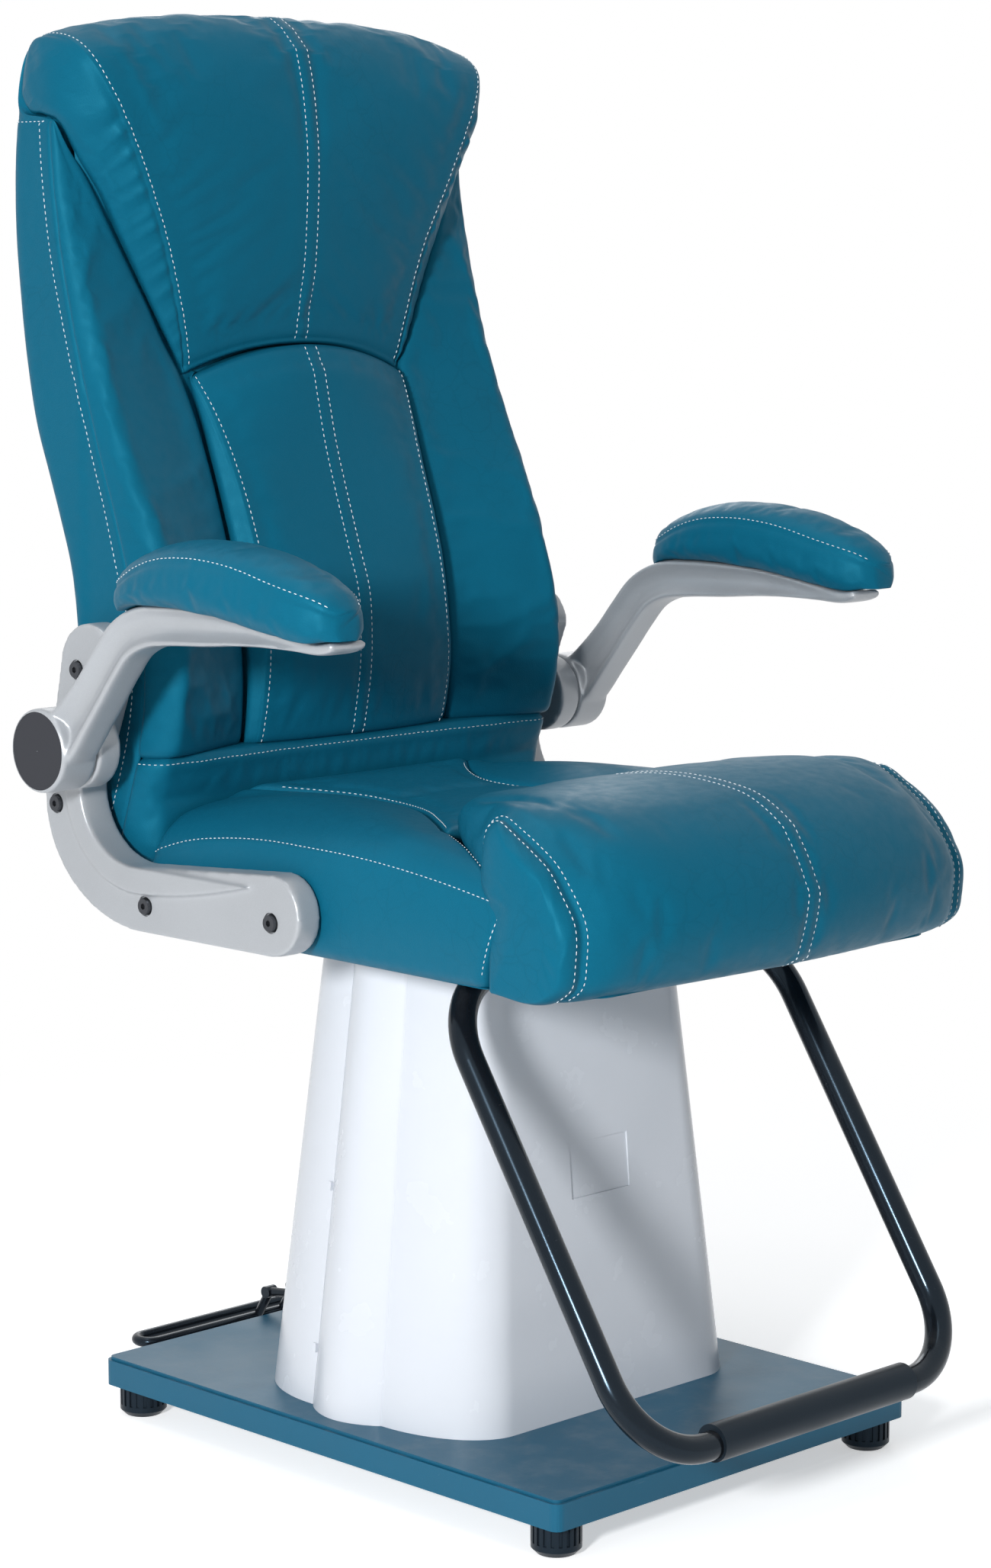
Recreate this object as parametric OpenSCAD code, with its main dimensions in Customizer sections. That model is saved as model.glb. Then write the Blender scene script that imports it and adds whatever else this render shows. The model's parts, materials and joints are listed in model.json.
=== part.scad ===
// Examination chair on a hydraulic column with a flat base plate, a pedal,
// a looped footrest, flip-up armrests and a fixed high back.
// Millimetres, +Z up, the sitter faces -Y, the floor is at zero and the
// column's axis passes through the origin.

/* [Base plate] */
// Width of the base plate, side to side
base_w = 460; // [420:5:520]
// Depth of the base plate, front to back
base_d = 600; // [560:5:660]
// Thickness of the base plate
base_t = 27; // [20:1:34]
// Radius of the plate's upright corners
base_corner = 9; // [4:1:20]
// Bevel round the plate's top edge
base_bevel = 3; // [1:0.5:5]

/* [Levelling feet] */
// Diameter of a foot
foot_d = 44; // [36:1:54]
// Height of a foot, which is the gap below the plate
foot_h = 28; // [22:1:36]
// Distance from the plate's edges to a foot's centre
foot_inset = 26; // [25:1:50]
// Diameter of a foot's threaded stud
stud_d = 12; // [8:1:16]
// Depth of the stud's hole in the plate
stud_hole_deep = 23; // [16:1:25]
// Bevel round a foot's lower edge
foot_bevel = 5; // [2:1:8]
// Width of one grip groove in a foot's side
foot_groove_w = 3; // [2:0.5:4]
// Grip grooves round a foot
foot_grooves = 20; // [12:1:28]

/* [Column cover] */
// Half width of the cover at the side swell, at the plate
cover_half_w = 210; // [190:1:225]
// Half width of the cover's flat side, at the plate
cover_side = 192; // [175:1:200]
// Half width of the cover's flat front
cover_flat = 128; // [100:1:140]
// Distance from the column's axis to the cover's front
cover_front = 147; // [130:1:160]
// Distance from the column's axis to the cover's back
cover_back = 152; // [140:1:165]
// Distance behind the axis at which the two halves meet
cover_seam = 47; // [35:1:60]
// Distance in front of the axis at which the side swell starts
swell_start = 44; // [30:1:60]
// Half width of the cover's flat back
cover_back_flat = 120; // [100:1:140]
// Height of the cover
cover_h = 417; // [400:1:419]
// Size of the cover's top outline as a share of the bottom one
cover_top_share = 0.76; // [0.72:0.01:0.8]
// Thickness of the cover's wall
cover_wall = 3; // [2:0.5:4]
// Width of the shallow recess on the cover's front
recess_w = 75; // [50:1:90]
// Height of the recess
recess_h = 50; // [30:1:60]
// Depth of the recess
recess_deep = 1; // [0.5:0.1:1.5]
// Height of the recess above the plate
recess_up = 195; // [150:5:260]
// Height of the lower pair of cover clips above the plate
clip_low = 48; // [30:1:80]
// Height of the upper pair of cover clips above the plate
clip_high = 196; // [150:1:250]

/* [Column] */
// Outer diameter of the fixed guide tube
tube_d = 90; // [84:1:96]
// Wall of the guide tube
tube_wall = 4.5; // [3:0.5:6]
// Height of the guide tube
tube_h = 392; // [380:1:393]
// Outer diameter of the sliding mast
mast_d = 72; // [68:1:74]
// Wall of the mast
mast_wall = 4; // [3:0.5:5]
// Diameter of the guide tube's flange
flange_d = 140; // [130:1:150]
// Thickness of the flange
flange_t = 8; // [6:1:12]
// Diameter of a flange bolt
flange_bolt_d = 10; // [8:1:12]
// Outer diameter of the hydraulic cylinder
cylinder_d = 44; // [40:1:48]
// Diameter of the piston rod
rod_d = 22; // [18:1:26]
// Upward travel of the seat
lift_travel = 150; // [100:5:160]

/* [Pedal] */
// Diameter of the pedal's rod
pedal_rod_d = 10; // [8:0.5:12]
// Half length of the pedal's foot bar, to the centre of its end bends
pedal_half_w = 143; // [120:1:180]
// Radius of the foot bar's end bends, at the rod's centre
pedal_bend = 13; // [12:1:20]
// Distance from the base plate's rear edge to the middle of the foot bar
pedal_gap = 37; // [30:1:45]
// Height of the foot bar above the floor
pedal_z = 46; // [42:1:56]
// Distance from the axis to the pedal's pivot
pivot_back = 134; // [130:0.5:135]
// Height of the pedal's pivot above the plate
pivot_up = 41; // [38:1:46]
// Diameter of the pivot pin
pivot_d = 10; // [8:1:12]
// Diameter of the pump's plunger
plunger_d = 14; // [10:1:16]
// Distance from the pivot to the plunger
plunger_arm = 32; // [28:1:36]

/* [Seat] */
// Height of the seat's underside above the floor
seat_z = 485; // [484:0.5:488]
// Half width of the seat
seat_half_w = 262; // [250:1:275]
// Distance from the axis to the seat's back edge
seat_back = 192; // [185:1:194]
// Distance from the axis to the front of the bolster's middle
seat_front = 380; // [360:1:400]
// Height of the seat cushion at its middle
seat_h = 115; // [100:1:125]
// Height of the front bolster
bolster_h = 148; // [130:1:160]
// Thickness of the seat board
seat_board_t = 15; // [12:1:18]
// Half width of the seat board
board_half_w = 220; // [200:1:225]
// Thickness of a side rail
rail_t = 28; // [22:1:30]

/* [Back] */
// Half width of the back
back_half_w = 260; // [250:1:262]
// Height of the back's lower edge above the floor
back_z = 566; // [560:1:575]
// Height of the back
back_h = 744; // [700:4:780]
// Distance from the axis to the back's lumbar front
lumbar_front = 181; // [176:1:200]
// Thickness of the back board
back_board_t = 15; // [12:1:18]

/* [Armrests] */
// Distance from the middle to the bracket's inner face
bracket_in = 263; // [263:0.5:266]
// Thickness of the bracket's plain part
bracket_t = 27; // [22:1:29]
// Distance from the axis to the armrest's hinge
hub_back = 233; // [228:1:240]
// Height of the armrest's hinge above the floor
hub_z = 650; // [640:1:660]
// Diameter of the armrest's hub
hub_d = 76; // [70:1:80]
// Diameter of the hinge pin
hub_pin_d = 20; // [16:1:24]
// Distance from the middle to the arm's outer face
arm_out = 350; // [346:1:356]
// Width of the arm, side to side
arm_w = 40; // [34:1:42]
// Distance from the middle to the arm pad's centre line
pad_mid = 341; // [336:1:344]
// Width of the arm pad
pad_w = 80; // [70:1:84]
// Distance from the axis to the pad's front end
pad_front = 165; // [155:1:190]
// Distance from the axis to the pad's back end
pad_back = 116; // [100:1:120]
// Thickness of the arm pad at its middle
pad_h = 56; // [46:1:60]

/* [Footrest] */
// Diameter of the footrest tube
rest_d = 25; // [22:1:28]
// Wall of the footrest tube
rest_wall = 2; // [1.5:0.5:3]
// Half distance between the footrest's legs
rest_half_w = 210; // [200:1:225]
// Distance from the axis to the foot bar
rest_front = 381; // [370:1:400]
// Height of the foot bar above the floor
rest_bar_z = 100; // [92:1:120]
// Distance from the axis to the footrest's upper ends
rest_top_front = 136; // [132:1:145]
// Bend radius of the tube, at its centre
rest_bend = 75; // [65:1:80]
// Distance from the middle to the tube's upper ends
rest_end = 112; // [112:1:118]
// Outer diameter of the foot bar's sleeve
sleeve_d = 33; // [30:1:38]
// Half length of the sleeve
sleeve_half_w = 126; // [100:1:130]

/* [Hidden] */
// Fits and small sizes
eps = 0.5;
soft_gap = 0.4;
run_gap = 0.05;
face_gap = 0.3;
hinge_gap = 0.5;
tube_clear = 2;
bore_fn = 48;
small_fn = 24;

// Levels
plate_top = foot_h + base_t;
pedal_back = base_d / 2 + pedal_gap;
cover_top = plate_top + cover_h;
cushion_floor = seat_z + seat_board_t;
back_top = back_z + back_h;

// Bolts of the frame
bolt_d = 8;
bolt_gap = 0.5;
bolt_head_d = 17;
bolt_head_t = 6;
bolt_sink = 3;
bolt_grip = 20;
hex_socket_d = 6;
hex_socket_deep = 3;

// Column details
flange_bolts = 6;
flange_bolt_ring = 57;
flange_bolt_head = 6;
flange_bolt_deep = 18;
bush_h = 34;
bush_lower_up = 190;
mast_clear = 32;
mast_end_drop = 8;
web_t = 10;
web_drop = 72;
cylinder_wall = 4;
cylinder_up = 8;
cylinder_h = 270;
gland_h = 16;
piston_h = 18;
piston_up = 12;
top_disc_d = 128;
top_disc_t = 8;
top_disc_drop = 3;
race_in_d = 62;
race_out_d = 92;
race_gap = 0.4;
spindle_d = 30;
spindle_drop = 13;
nut_d = 46;
nut_t = 11;
inner_drop = 170;
inner_wall = 2.5;
inner_gap = 2;
lid_t = 3;
lid_hole_gap = 1;
seat_plate_t = 6;
seat_plate_half_w = 150;
seat_plate_front = 98;
seat_plate_back = 112;
seat_plate_corner = 14;
plate_bolt_inset = 22;
plate_bolt_head_t = 4;

// Pump and pedal details
pump_half_w = 28;
pump_d = 36;
pump_base_t = 6;
pump_leg_t = 7;
pump_leg_h = 56;
pump_block_h = 46;
plunger_in = 36;
plunger_rise = 4;
pipe_d = 8;
pipe_up = 18;
pipe_bend = 10;
pipe_inset = 6;
ear_t = 6;
ear_r = 12;
ear_in = 13;
pin_proud = 5;
lever_half_w = 11;
lever_hub_d = 22;
nose_d = 8;
lever_reach = 40;
tee_half_w = 23;
tee_d = 12;
neck_d = 9;
neck_half_w = 16;
knee_d = 12;
knee_edge_gap = 6;
knee_up = 19;
slot_half_w = 34;
slot_up = 56;

// Footrest details
clamp_t = 3;
clamp_w = 18;
clamp_ear = 16;
clamp_bolt_d = 6;
clamp_bolt_head = 4;
clamp_bolt_in = 10;
cap_t = 3;
cap_plug = 12;
sleeve_shift = 1.5;

// Cover clips
clip_gap = 0.5;
clip_t = 3;
clip_w = 4;
clip_h = 8;

// Colours
teal = "#0a5f7c";
plate_teal = "#0b4f6e";
shell_white = "#e4e8ee";
silver = "#b9bdc2";
dark = "#2a2b31";
black = "#101114";
steel = "#8f959c";
ply = "#c7a069";
red_metal = "#6f757c";

// Helpers

function mix(a, b, t) = a + (b - a) * t;
function ease(t) = t * t * (3 - 2 * t);
function hump(t) = sin(180 * t);

// Point on an ellipse of radii rx and ry about a centre
function oval(c, rx, ry, a) = [c[0] + rx * cos(a), c[1] + ry * sin(a)];

// Height loss near an edge, one at the edge and zero past the edge's share
function edge_fall(t, share) =
    t >= share ? 0 : 1 - sqrt(1 - pow(1 - t / share, 2));

// Same for both ends of a span from zero to one
function ends_fall(t, share) = edge_fall(min(t, 1 - t), share);

module mirrored_x() {
    children();
    mirror([1, 0, 0]) children();
}

// Bar along X from x0 to x1 at a place in the YZ plane
module bar_x(x0, x1, y, z, d, fn = bore_fn) {
    translate([x0, y, z]) rotate([0, 90, 0]) cylinder(h = x1 - x0, d = d, $fn = fn);
}

// Outline drawn in Y and Z, extruded along X
module side_slab(x0, x1) {
    translate([x0, 0, 0]) rotate([90, 0, 90]) linear_extrude(x1 - x0) children();
}

// Closed solid between a front and a rear grid of points, with loops of
// points round its sides
module quilt(front, rear, loops = []) {
    rows = len(front);
    cols = len(front[0]);
    count = rows * cols;
    around = 2 * (rows + cols) - 4;
    rim = edge_numbers(rows, cols);
    rims = concat([rim],
        [for (k = [0 : 1 : len(loops) - 1]) [for (n = [0 : around - 1]) 2 * count + k * around + n]],
        [[for (k = rim) k + count]]);
    cells = [for (i = [0 : rows - 2]) for (j = [0 : cols - 2]) i * cols + j];
    polyhedron(
        points = concat([for (row = front) each row], [for (row = rear) each row],
            [for (one = loops) each one]),
        faces = concat(
            [for (k = cells) [k, k + cols, k + cols + 1]],
            [for (k = cells) [k, k + cols + 1, k + 1]],
            [for (k = cells) [k + count, k + count + cols + 1, k + count + cols]],
            [for (k = cells) [k + count, k + count + 1, k + count + cols + 1]],
            [for (k = [0 : len(rims) - 2]) for (n = [0 : around - 1])
                [rims[k][n], rims[k][(n + 1) % around], rims[k + 1][(n + 1) % around]]],
            [for (k = [0 : len(rims) - 2]) for (n = [0 : around - 1])
                [rims[k][n], rims[k + 1][(n + 1) % around], rims[k + 1][n]]]));
}

// Numbers of a grid's edge points, once round
function edge_numbers(rows, cols) = concat(
    [for (j = [0 : cols - 2]) j],
    [for (i = [0 : rows - 2]) i * cols + cols - 1],
    [for (j = [cols - 1 : -1 : 1]) (rows - 1) * cols + j],
    [for (i = [rows - 1 : -1 : 1]) i * cols]);

// Closed solid through rings of points, fanned shut at both ends
module loft(rings) {
    n = len(rings[0]);
    last = len(rings) - 1;
    count = n * len(rings);
    middle = [for (r = [rings[0], rings[last]]) [for (c = [0 : 2])
        (min([for (p = r) p[c]]) + max([for (p = r) p[c]])) / 2]];
    polyhedron(points = concat([for (r = rings) each r], middle),
        faces = concat(
            [for (i = [0 : last - 1]) for (k = [0 : n - 1])
                [i * n + k, i * n + (k + 1) % n, (i + 1) * n + (k + 1) % n]],
            [for (i = [0 : last - 1]) for (k = [0 : n - 1])
                [i * n + k, (i + 1) * n + (k + 1) % n, (i + 1) * n + k]],
            [for (k = [0 : n - 1]) [(k + 1) % n, k, count]],
            [for (k = [0 : n - 1]) [last * n + k, last * n + (k + 1) % n, count + 1]]));
}

// Edge points of a grid, in the same order
function rim_of(grid) = let (cols = len(grid[0]))
    [for (k = edge_numbers(len(grid), cols)) grid[floor(k / cols)][k % cols]];

// Stations across and along a cushion, closer together near its edges
across_shares = [0, 0.02, 0.07, 0.16, 0.3, 0.5, 0.7, 0.84, 0.93, 0.98, 1];
along_shares = [0, 0.015, 0.05, 0.12, 0.22, 0.34, 0.46, 0.58, 0.7, 0.8, 0.88, 0.95, 0.985, 1];

// Base

module plate_slab(inset, h) {
    r = base_corner - inset;
    linear_extrude(h) hull()
        for (sx = [-1, 1]) for (sy = [-1, 1])
            translate([sx * (base_w / 2 - base_corner), sy * (base_d / 2 - base_corner)])
                circle(r = r, $fn = small_fn);
}

module foot_places() {
    for (sx = [-1, 1]) for (sy = [-1, 1])
        translate([sx * (base_w / 2 - foot_inset), sy * (base_d / 2 - foot_inset), 0])
            children();
}

module base_plate() {
    color(plate_teal) difference() {
        union() {
            translate([0, 0, foot_h]) plate_slab(0, base_t - base_bevel);
            translate([0, 0, plate_top - base_bevel]) plate_slab(base_bevel, base_bevel);
        }
        foot_places() translate([0, 0, foot_h - eps])
            cylinder(h = stud_hole_deep + eps, d = stud_d + 2 * run_gap, $fn = bore_fn);
        bolt_ring() translate([0, 0, plate_top - flange_bolt_deep])
            cylinder(h = flange_bolt_deep + eps, d = flange_bolt_d + 2 * run_gap, $fn = small_fn);
    }
}

stud_in_foot = 14;
module foot_at(sx, sy) {
    groove_deep = foot_groove_w / 2;
    color(black) translate([sx * (base_w / 2 - foot_inset), sy * (base_d / 2 - foot_inset), 0])
        difference() {
            rotate_extrude($fn = bore_fn) polygon([
                [0, 0], [foot_d / 2 - foot_bevel, 0], [foot_d / 2, foot_bevel],
                [foot_d / 2, foot_h - face_gap], [0, foot_h - face_gap]]);
            translate([0, 0, foot_h - stud_in_foot])
                cylinder(h = stud_in_foot + eps, d = stud_d + 2 * run_gap, $fn = bore_fn);
            for (n = [0 : foot_grooves - 1]) rotate(n * 360 / foot_grooves)
                translate([foot_d / 2 - groove_deep, -foot_groove_w / 2, 2 * foot_bevel])
                    cube([2 * groove_deep, foot_groove_w, foot_h]);
        }
}

module stud_at(sx, sy) {
    color(steel) translate([sx * (base_w / 2 - foot_inset), sy * (base_d / 2 - foot_inset),
        foot_h - stud_in_foot])
        cylinder(h = stud_in_foot + stud_hole_deep - 2 * eps, d = stud_d, $fn = bore_fn);
}

// Column cover

corner_steps = 9;
swell_steps = 12;

// Right half of the front shell's outline, from the middle of the front back
// to the seam, drawn in by an inset
function front_half(inset) =
    let (side = cover_side - inset, front = cover_front - inset, flat = cover_flat)
    concat([[0, -front]],
        [for (k = [0 : corner_steps]) oval([flat, -swell_start], side - flat,
            front - swell_start, -90 + k * 90 / corner_steps)],
        [for (k = [1 : swell_steps]) let (t = k / swell_steps)
            [side + (cover_half_w - cover_side) * pow(hump(t), 0.8),
                mix(-swell_start, cover_seam, t)]]);

// Right half of the rear shell's outline, from the seam to the middle of the back
function back_half(inset) =
    let (side = cover_side - inset - run_gap, back = cover_back - inset,
        start = cover_seam + run_gap)
    concat([[side, start]],
        [for (k = [0 : corner_steps]) oval([cover_back_flat, start + cover_wall],
            side - cover_back_flat, back - start - cover_wall, k * 90 / corner_steps)],
        [[0, back]]);

function flipped(points) = [for (n = [len(points) - 1 : -1 : 0]) [-points[n][0], points[n][1]]];

// Shell's ring, left open at the seam
module front_ring() {
    difference() {
        polygon(concat(front_half(0), flipped(front_half(0))));
        polygon(concat(front_half(cover_wall), [[cover_side - cover_wall, cover_seam + cover_wall],
            [cover_wall - cover_side, cover_seam + cover_wall]],
            flipped(front_half(cover_wall))));
    }
}

module rear_ring() {
    difference() {
        polygon(concat(back_half(0), flipped(back_half(0))));
        polygon(concat([[cover_side - cover_wall - run_gap, cover_seam - cover_wall]],
            back_half(cover_wall), flipped(back_half(cover_wall)),
            [[cover_wall + run_gap - cover_side, cover_seam - cover_wall]]));
    }
}

// Share of the bottom outline's size at a height above the plate
function cover_share(up) = mix(1, cover_top_share, up / cover_h);

module tapered() {
    translate([0, 0, plate_top])
        linear_extrude(height = cover_h, scale = cover_top_share, slices = 1) children();
}

front_tilt = atan(cover_front * (1 - cover_top_share) / cover_h);
module front_cover() {
    color(shell_white) difference() {
        tapered() front_ring();
        translate([-recess_w / 2, -cover_front * cover_share(recess_up), plate_top + recess_up])
            rotate([-front_tilt, 0, 0]) translate([0, -cover_wall, 0])
                cube([recess_w, cover_wall + recess_deep, recess_h]);
    }
}

module rear_cover() {
    color(shell_white) difference() {
        tapered() rear_ring();
        translate([-slot_half_w, cover_back / 2, plate_top - eps])
            cube([2 * slot_half_w, cover_back, slot_up + eps]);
    }
}

side_tilt = atan(cover_side * (1 - cover_top_share) / cover_h);
module cover_clips() {
    color(shell_white) for (up = [clip_low, clip_high])
        mirrored_x() translate([cover_side * cover_share(up), cover_seam * cover_share(up) + clip_gap,
            plate_top + up]) rotate([0, -side_tilt, 0]) cube([clip_t, clip_w, clip_h]);
}

// Column

module bolt_ring() {
    for (n = [0 : flange_bolts - 1]) rotate((n + 0.5) * 360 / flange_bolts)
        translate([flange_bolt_ring, 0, 0]) children();
}

tube_top = plate_top + tube_h;
module guide_tube() {
    color(steel) difference() {
        union() {
            translate([0, 0, plate_top]) cylinder(h = flange_t, d = flange_d, $fn = bore_fn);
            translate([0, 0, plate_top]) cylinder(h = tube_h, d = tube_d, $fn = bore_fn);
        }
        translate([0, 0, plate_top + flange_t])
            cylinder(h = tube_h, d = tube_d - 2 * tube_wall, $fn = bore_fn);
        bolt_ring() translate([0, 0, plate_top - eps])
            cylinder(h = flange_t + 2 * eps, d = flange_bolt_d + 2 * bolt_gap, $fn = small_fn);
        translate([0, 0, plate_top + pipe_up]) rotate([-90, 0, 0])
            cylinder(h = tube_d, d = pipe_d + 2 * bolt_gap, $fn = small_fn);
    }
}

module flange_bolts() {
    color(steel) bolt_ring() translate([0, 0, plate_top + flange_t]) {
        cylinder(h = flange_bolt_head, d = flange_bolt_d + flange_bolt_head, $fn = 6);
        translate([0, 0, -flange_t - flange_bolt_deep + eps])
            cylinder(h = flange_t + flange_bolt_deep, d = flange_bolt_d, $fn = small_fn);
    }
}

module guide_bushes() {
    color(black) for (z = [tube_top - bush_h, plate_top + bush_lower_up])
        translate([0, 0, z]) difference() {
            cylinder(h = bush_h, d = tube_d - 2 * tube_wall - 2 * run_gap, $fn = bore_fn);
            translate([0, 0, -eps])
                cylinder(h = bush_h + 2 * eps, d = mast_d + 2 * run_gap, $fn = bore_fn);
        }
}

cylinder_z = plate_top + flange_t;
module hydraulic_cylinder() {
    inner = cylinder_d - 2 * cylinder_wall;
    color(red_metal) difference() {
        translate([0, 0, cylinder_z]) cylinder(h = cylinder_h, d = cylinder_d, $fn = bore_fn);
        translate([0, 0, cylinder_z + cylinder_up])
            cylinder(h = cylinder_h - cylinder_up - gland_h, d = inner, $fn = bore_fn);
        translate([0, 0, cylinder_z + cylinder_up])
            cylinder(h = cylinder_h, d = rod_d + 2 * run_gap, $fn = bore_fn);
    }
}

// Mast and what rides on it

mast_foot = plate_top + mast_clear;
disc_z = cover_top - top_disc_drop - top_disc_t;
web_z = disc_z - web_drop;

// A longer guide tube lifts all that stands on the mast
seat_rise = max(0, plate_top + tube_h + tube_clear - disc_z);

module raised() {
    translate([0, 0, seat_rise]) children();
}

module mast_tube() {
    inner = mast_d - 2 * mast_wall;
    color(steel) {
        translate([0, 0, mast_foot]) difference() {
            cylinder(h = disc_z - mast_foot, d = mast_d, $fn = bore_fn);
            translate([0, 0, -eps])
                cylinder(h = disc_z - mast_foot + 2 * eps, d = inner, $fn = bore_fn);
        }
        translate([0, 0, web_z]) cylinder(h = web_t, d = inner, $fn = bore_fn);
    }
}

module piston_rod() {
    inner = cylinder_d - 2 * cylinder_wall;
    foot = cylinder_z + cylinder_up + piston_up;
    color("silver") {
        translate([0, 0, foot]) cylinder(h = web_z - foot, d = rod_d, $fn = bore_fn);
        translate([0, 0, foot]) cylinder(h = piston_h, d = inner - 2 * run_gap, $fn = bore_fn);
    }
}

// Outline of the sliding inner cover, from the cover's own at its top
inner_inset = cover_wall + inner_gap;
module inner_outline(inset) {
    scale([cover_top_share, cover_top_share])
        polygon(concat(
            [for (p = front_half(inset / cover_top_share)) if (p[1] < cover_seam) p],
            back_half(inset / cover_top_share),
            flipped(back_half(inset / cover_top_share)),
            [for (p = flipped(front_half(inset / cover_top_share))) if (p[1] < cover_seam) p]));
}

module inner_cover() {
    color(shell_white) difference() {
        translate([0, 0, cover_top - inner_drop]) linear_extrude(inner_drop)
            inner_outline(inner_inset);
        translate([0, 0, cover_top - inner_drop - eps])
            linear_extrude(inner_drop - lid_t + eps) inner_outline(inner_inset + inner_wall);
        translate([0, 0, cover_top - 2 * lid_t])
            cylinder(h = 3 * lid_t, d = race_out_d + 2 * lid_hole_gap, $fn = bore_fn);
    }
}

race_h = (seat_z - seat_plate_t - disc_z - top_disc_t - race_gap) / 2;
module mast_head() {
    color(steel) difference() {
        union() {
            translate([0, 0, disc_z]) cylinder(h = top_disc_t, d = top_disc_d, $fn = bore_fn);
            translate([0, 0, disc_z]) cylinder(h = top_disc_t + race_h, d = race_out_d, $fn = bore_fn);
        }
        translate([0, 0, disc_z + top_disc_t])
            cylinder(h = race_h + eps, d = race_in_d, $fn = bore_fn);
        translate([0, 0, disc_z - eps])
            cylinder(h = top_disc_t + 2 * eps, d = spindle_d + 2 * run_gap, $fn = bore_fn);
    }
}

plate_z = seat_z - seat_plate_t;

module plate_bolt_places() {
    for (x = [plate_bolt_inset - seat_plate_half_w, seat_plate_half_w - plate_bolt_inset])
        for (y = [plate_bolt_inset - seat_plate_front, seat_plate_back - plate_bolt_inset])
            translate([x, y, 0]) children();
}

module seat_plate() {
    color(steel) {
        difference() {
            translate([0, 0, plate_z]) linear_extrude(seat_plate_t) hull()
                for (x = [-1, 1] * (seat_plate_half_w - seat_plate_corner))
                    for (y = [seat_plate_corner - seat_plate_front,
                        seat_plate_back - seat_plate_corner])
                        translate([x, y]) circle(r = seat_plate_corner, $fn = small_fn);
            plate_bolt_places() translate([0, 0, plate_z - eps])
                cylinder(h = seat_plate_t + 2 * eps, d = bolt_d + 2 * bolt_gap, $fn = small_fn);
        }
        translate([0, 0, plate_z - race_h]) difference() {
            cylinder(h = race_h, d = race_out_d, $fn = bore_fn);
            translate([0, 0, -eps]) cylinder(h = race_h + eps, d = race_in_d, $fn = bore_fn);
        }
    }
}

module swivel_spindle() {
    color("silver") translate([0, 0, disc_z - spindle_drop])
        cylinder(h = plate_z - disc_z + spindle_drop, d = spindle_d, $fn = bore_fn);
}

module spindle_nut() {
    color(steel) translate([0, 0, disc_z - face_gap - nut_t]) difference() {
        cylinder(h = nut_t, d = nut_d, $fn = 6);
        translate([0, 0, -eps])
            cylinder(h = nut_t + 2 * eps, d = spindle_d + 2 * run_gap, $fn = bore_fn);
    }
}

module seat_plate_bolts() {
    color(dark) plate_bolt_places() translate([0, 0, plate_z - plate_bolt_head_t]) {
        cylinder(h = plate_bolt_head_t, d = bolt_head_d, $fn = small_fn);
        cylinder(h = plate_bolt_head_t + seat_plate_t + seat_board_t - eps, d = bolt_d,
            $fn = small_fn);
    }
}

// Pump and pedal

pivot_z = plate_top + pivot_up;
plunger_back = pivot_back - plunger_arm;
block_z = plate_top + pump_leg_h;

module pump_body() {
    front = plunger_back - pump_d / 2;
    color(red_metal) difference() {
        union() {
            translate([-pump_half_w, front, block_z])
                cube([2 * pump_half_w, pump_d, pump_block_h]);
            mirrored_x() translate([pump_half_w - pump_leg_t, front, plate_top])
                cube([pump_leg_t, pump_d, pump_leg_h]);
            translate([-pump_half_w, front, plate_top])
                cube([2 * pump_half_w, pump_d, pump_base_t]);
        }
        translate([0, plunger_back, block_z - eps])
            cylinder(h = plunger_in + plunger_rise + eps, d = plunger_d + 2 * run_gap, $fn = bore_fn);
    }
}

// Pipe from the cylinder's foot up into the pump's underside
module feed_pipe() {
    start = cylinder_d / 2 + run_gap;
    low = plate_top + pipe_up;
    reach = plunger_back - pump_d / 2 + pipe_inset;
    color(steel) {
        translate([0, start, low]) rotate([-90, 0, 0])
            cylinder(h = reach - pipe_bend - start, d = pipe_d, $fn = small_fn);
        translate([0, reach - pipe_bend, low + pipe_bend]) rotate([90, 0, 90]) rotate(-90)
            rotate_extrude(angle = 90, $fn = bore_fn)
                translate([pipe_bend, 0]) circle(d = pipe_d, $fn = small_fn);
        translate([0, reach, low + pipe_bend])
            cylinder(h = block_z - run_gap - low - pipe_bend, d = pipe_d, $fn = small_fn);
    }
}

nose_top = pivot_z + nose_d / 2;
module pump_plunger() {
    color("silver") translate([0, plunger_back, nose_top + face_gap])
        cylinder(h = block_z + plunger_in - nose_top - face_gap, d = plunger_d, $fn = bore_fn);
}

module pedal_bracket() {
    color(steel) mirrored_x() difference() {
        union() {
            translate([ear_in, pivot_back - ear_r, plate_top])
                cube([ear_t, 2 * ear_r, pivot_up]);
            bar_x(ear_in, ear_in + ear_t, pivot_back, pivot_z, 2 * ear_r);
        }
        bar_x(ear_in - eps, ear_in + ear_t + eps, pivot_back, pivot_z, pivot_d + 2 * run_gap);
    }
}

module pedal_pin() {
    reach = ear_in + ear_t + pin_proud;
    color("silver") bar_x(-reach, reach, pivot_back, pivot_z, pivot_d);
}

// Lever from the nose under the plunger past the pivot to its tee, in a
// frame that slopes down to the knee of the neck
knee = [base_d / 2 + knee_edge_gap, plate_top + knee_up];
neck_slope = atan((pivot_z - knee[1]) / (knee[0] - pivot_back));

module pedal_slope() {
    translate([0, pivot_back, pivot_z]) rotate([-neck_slope, 0, 0]) children();
}

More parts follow.
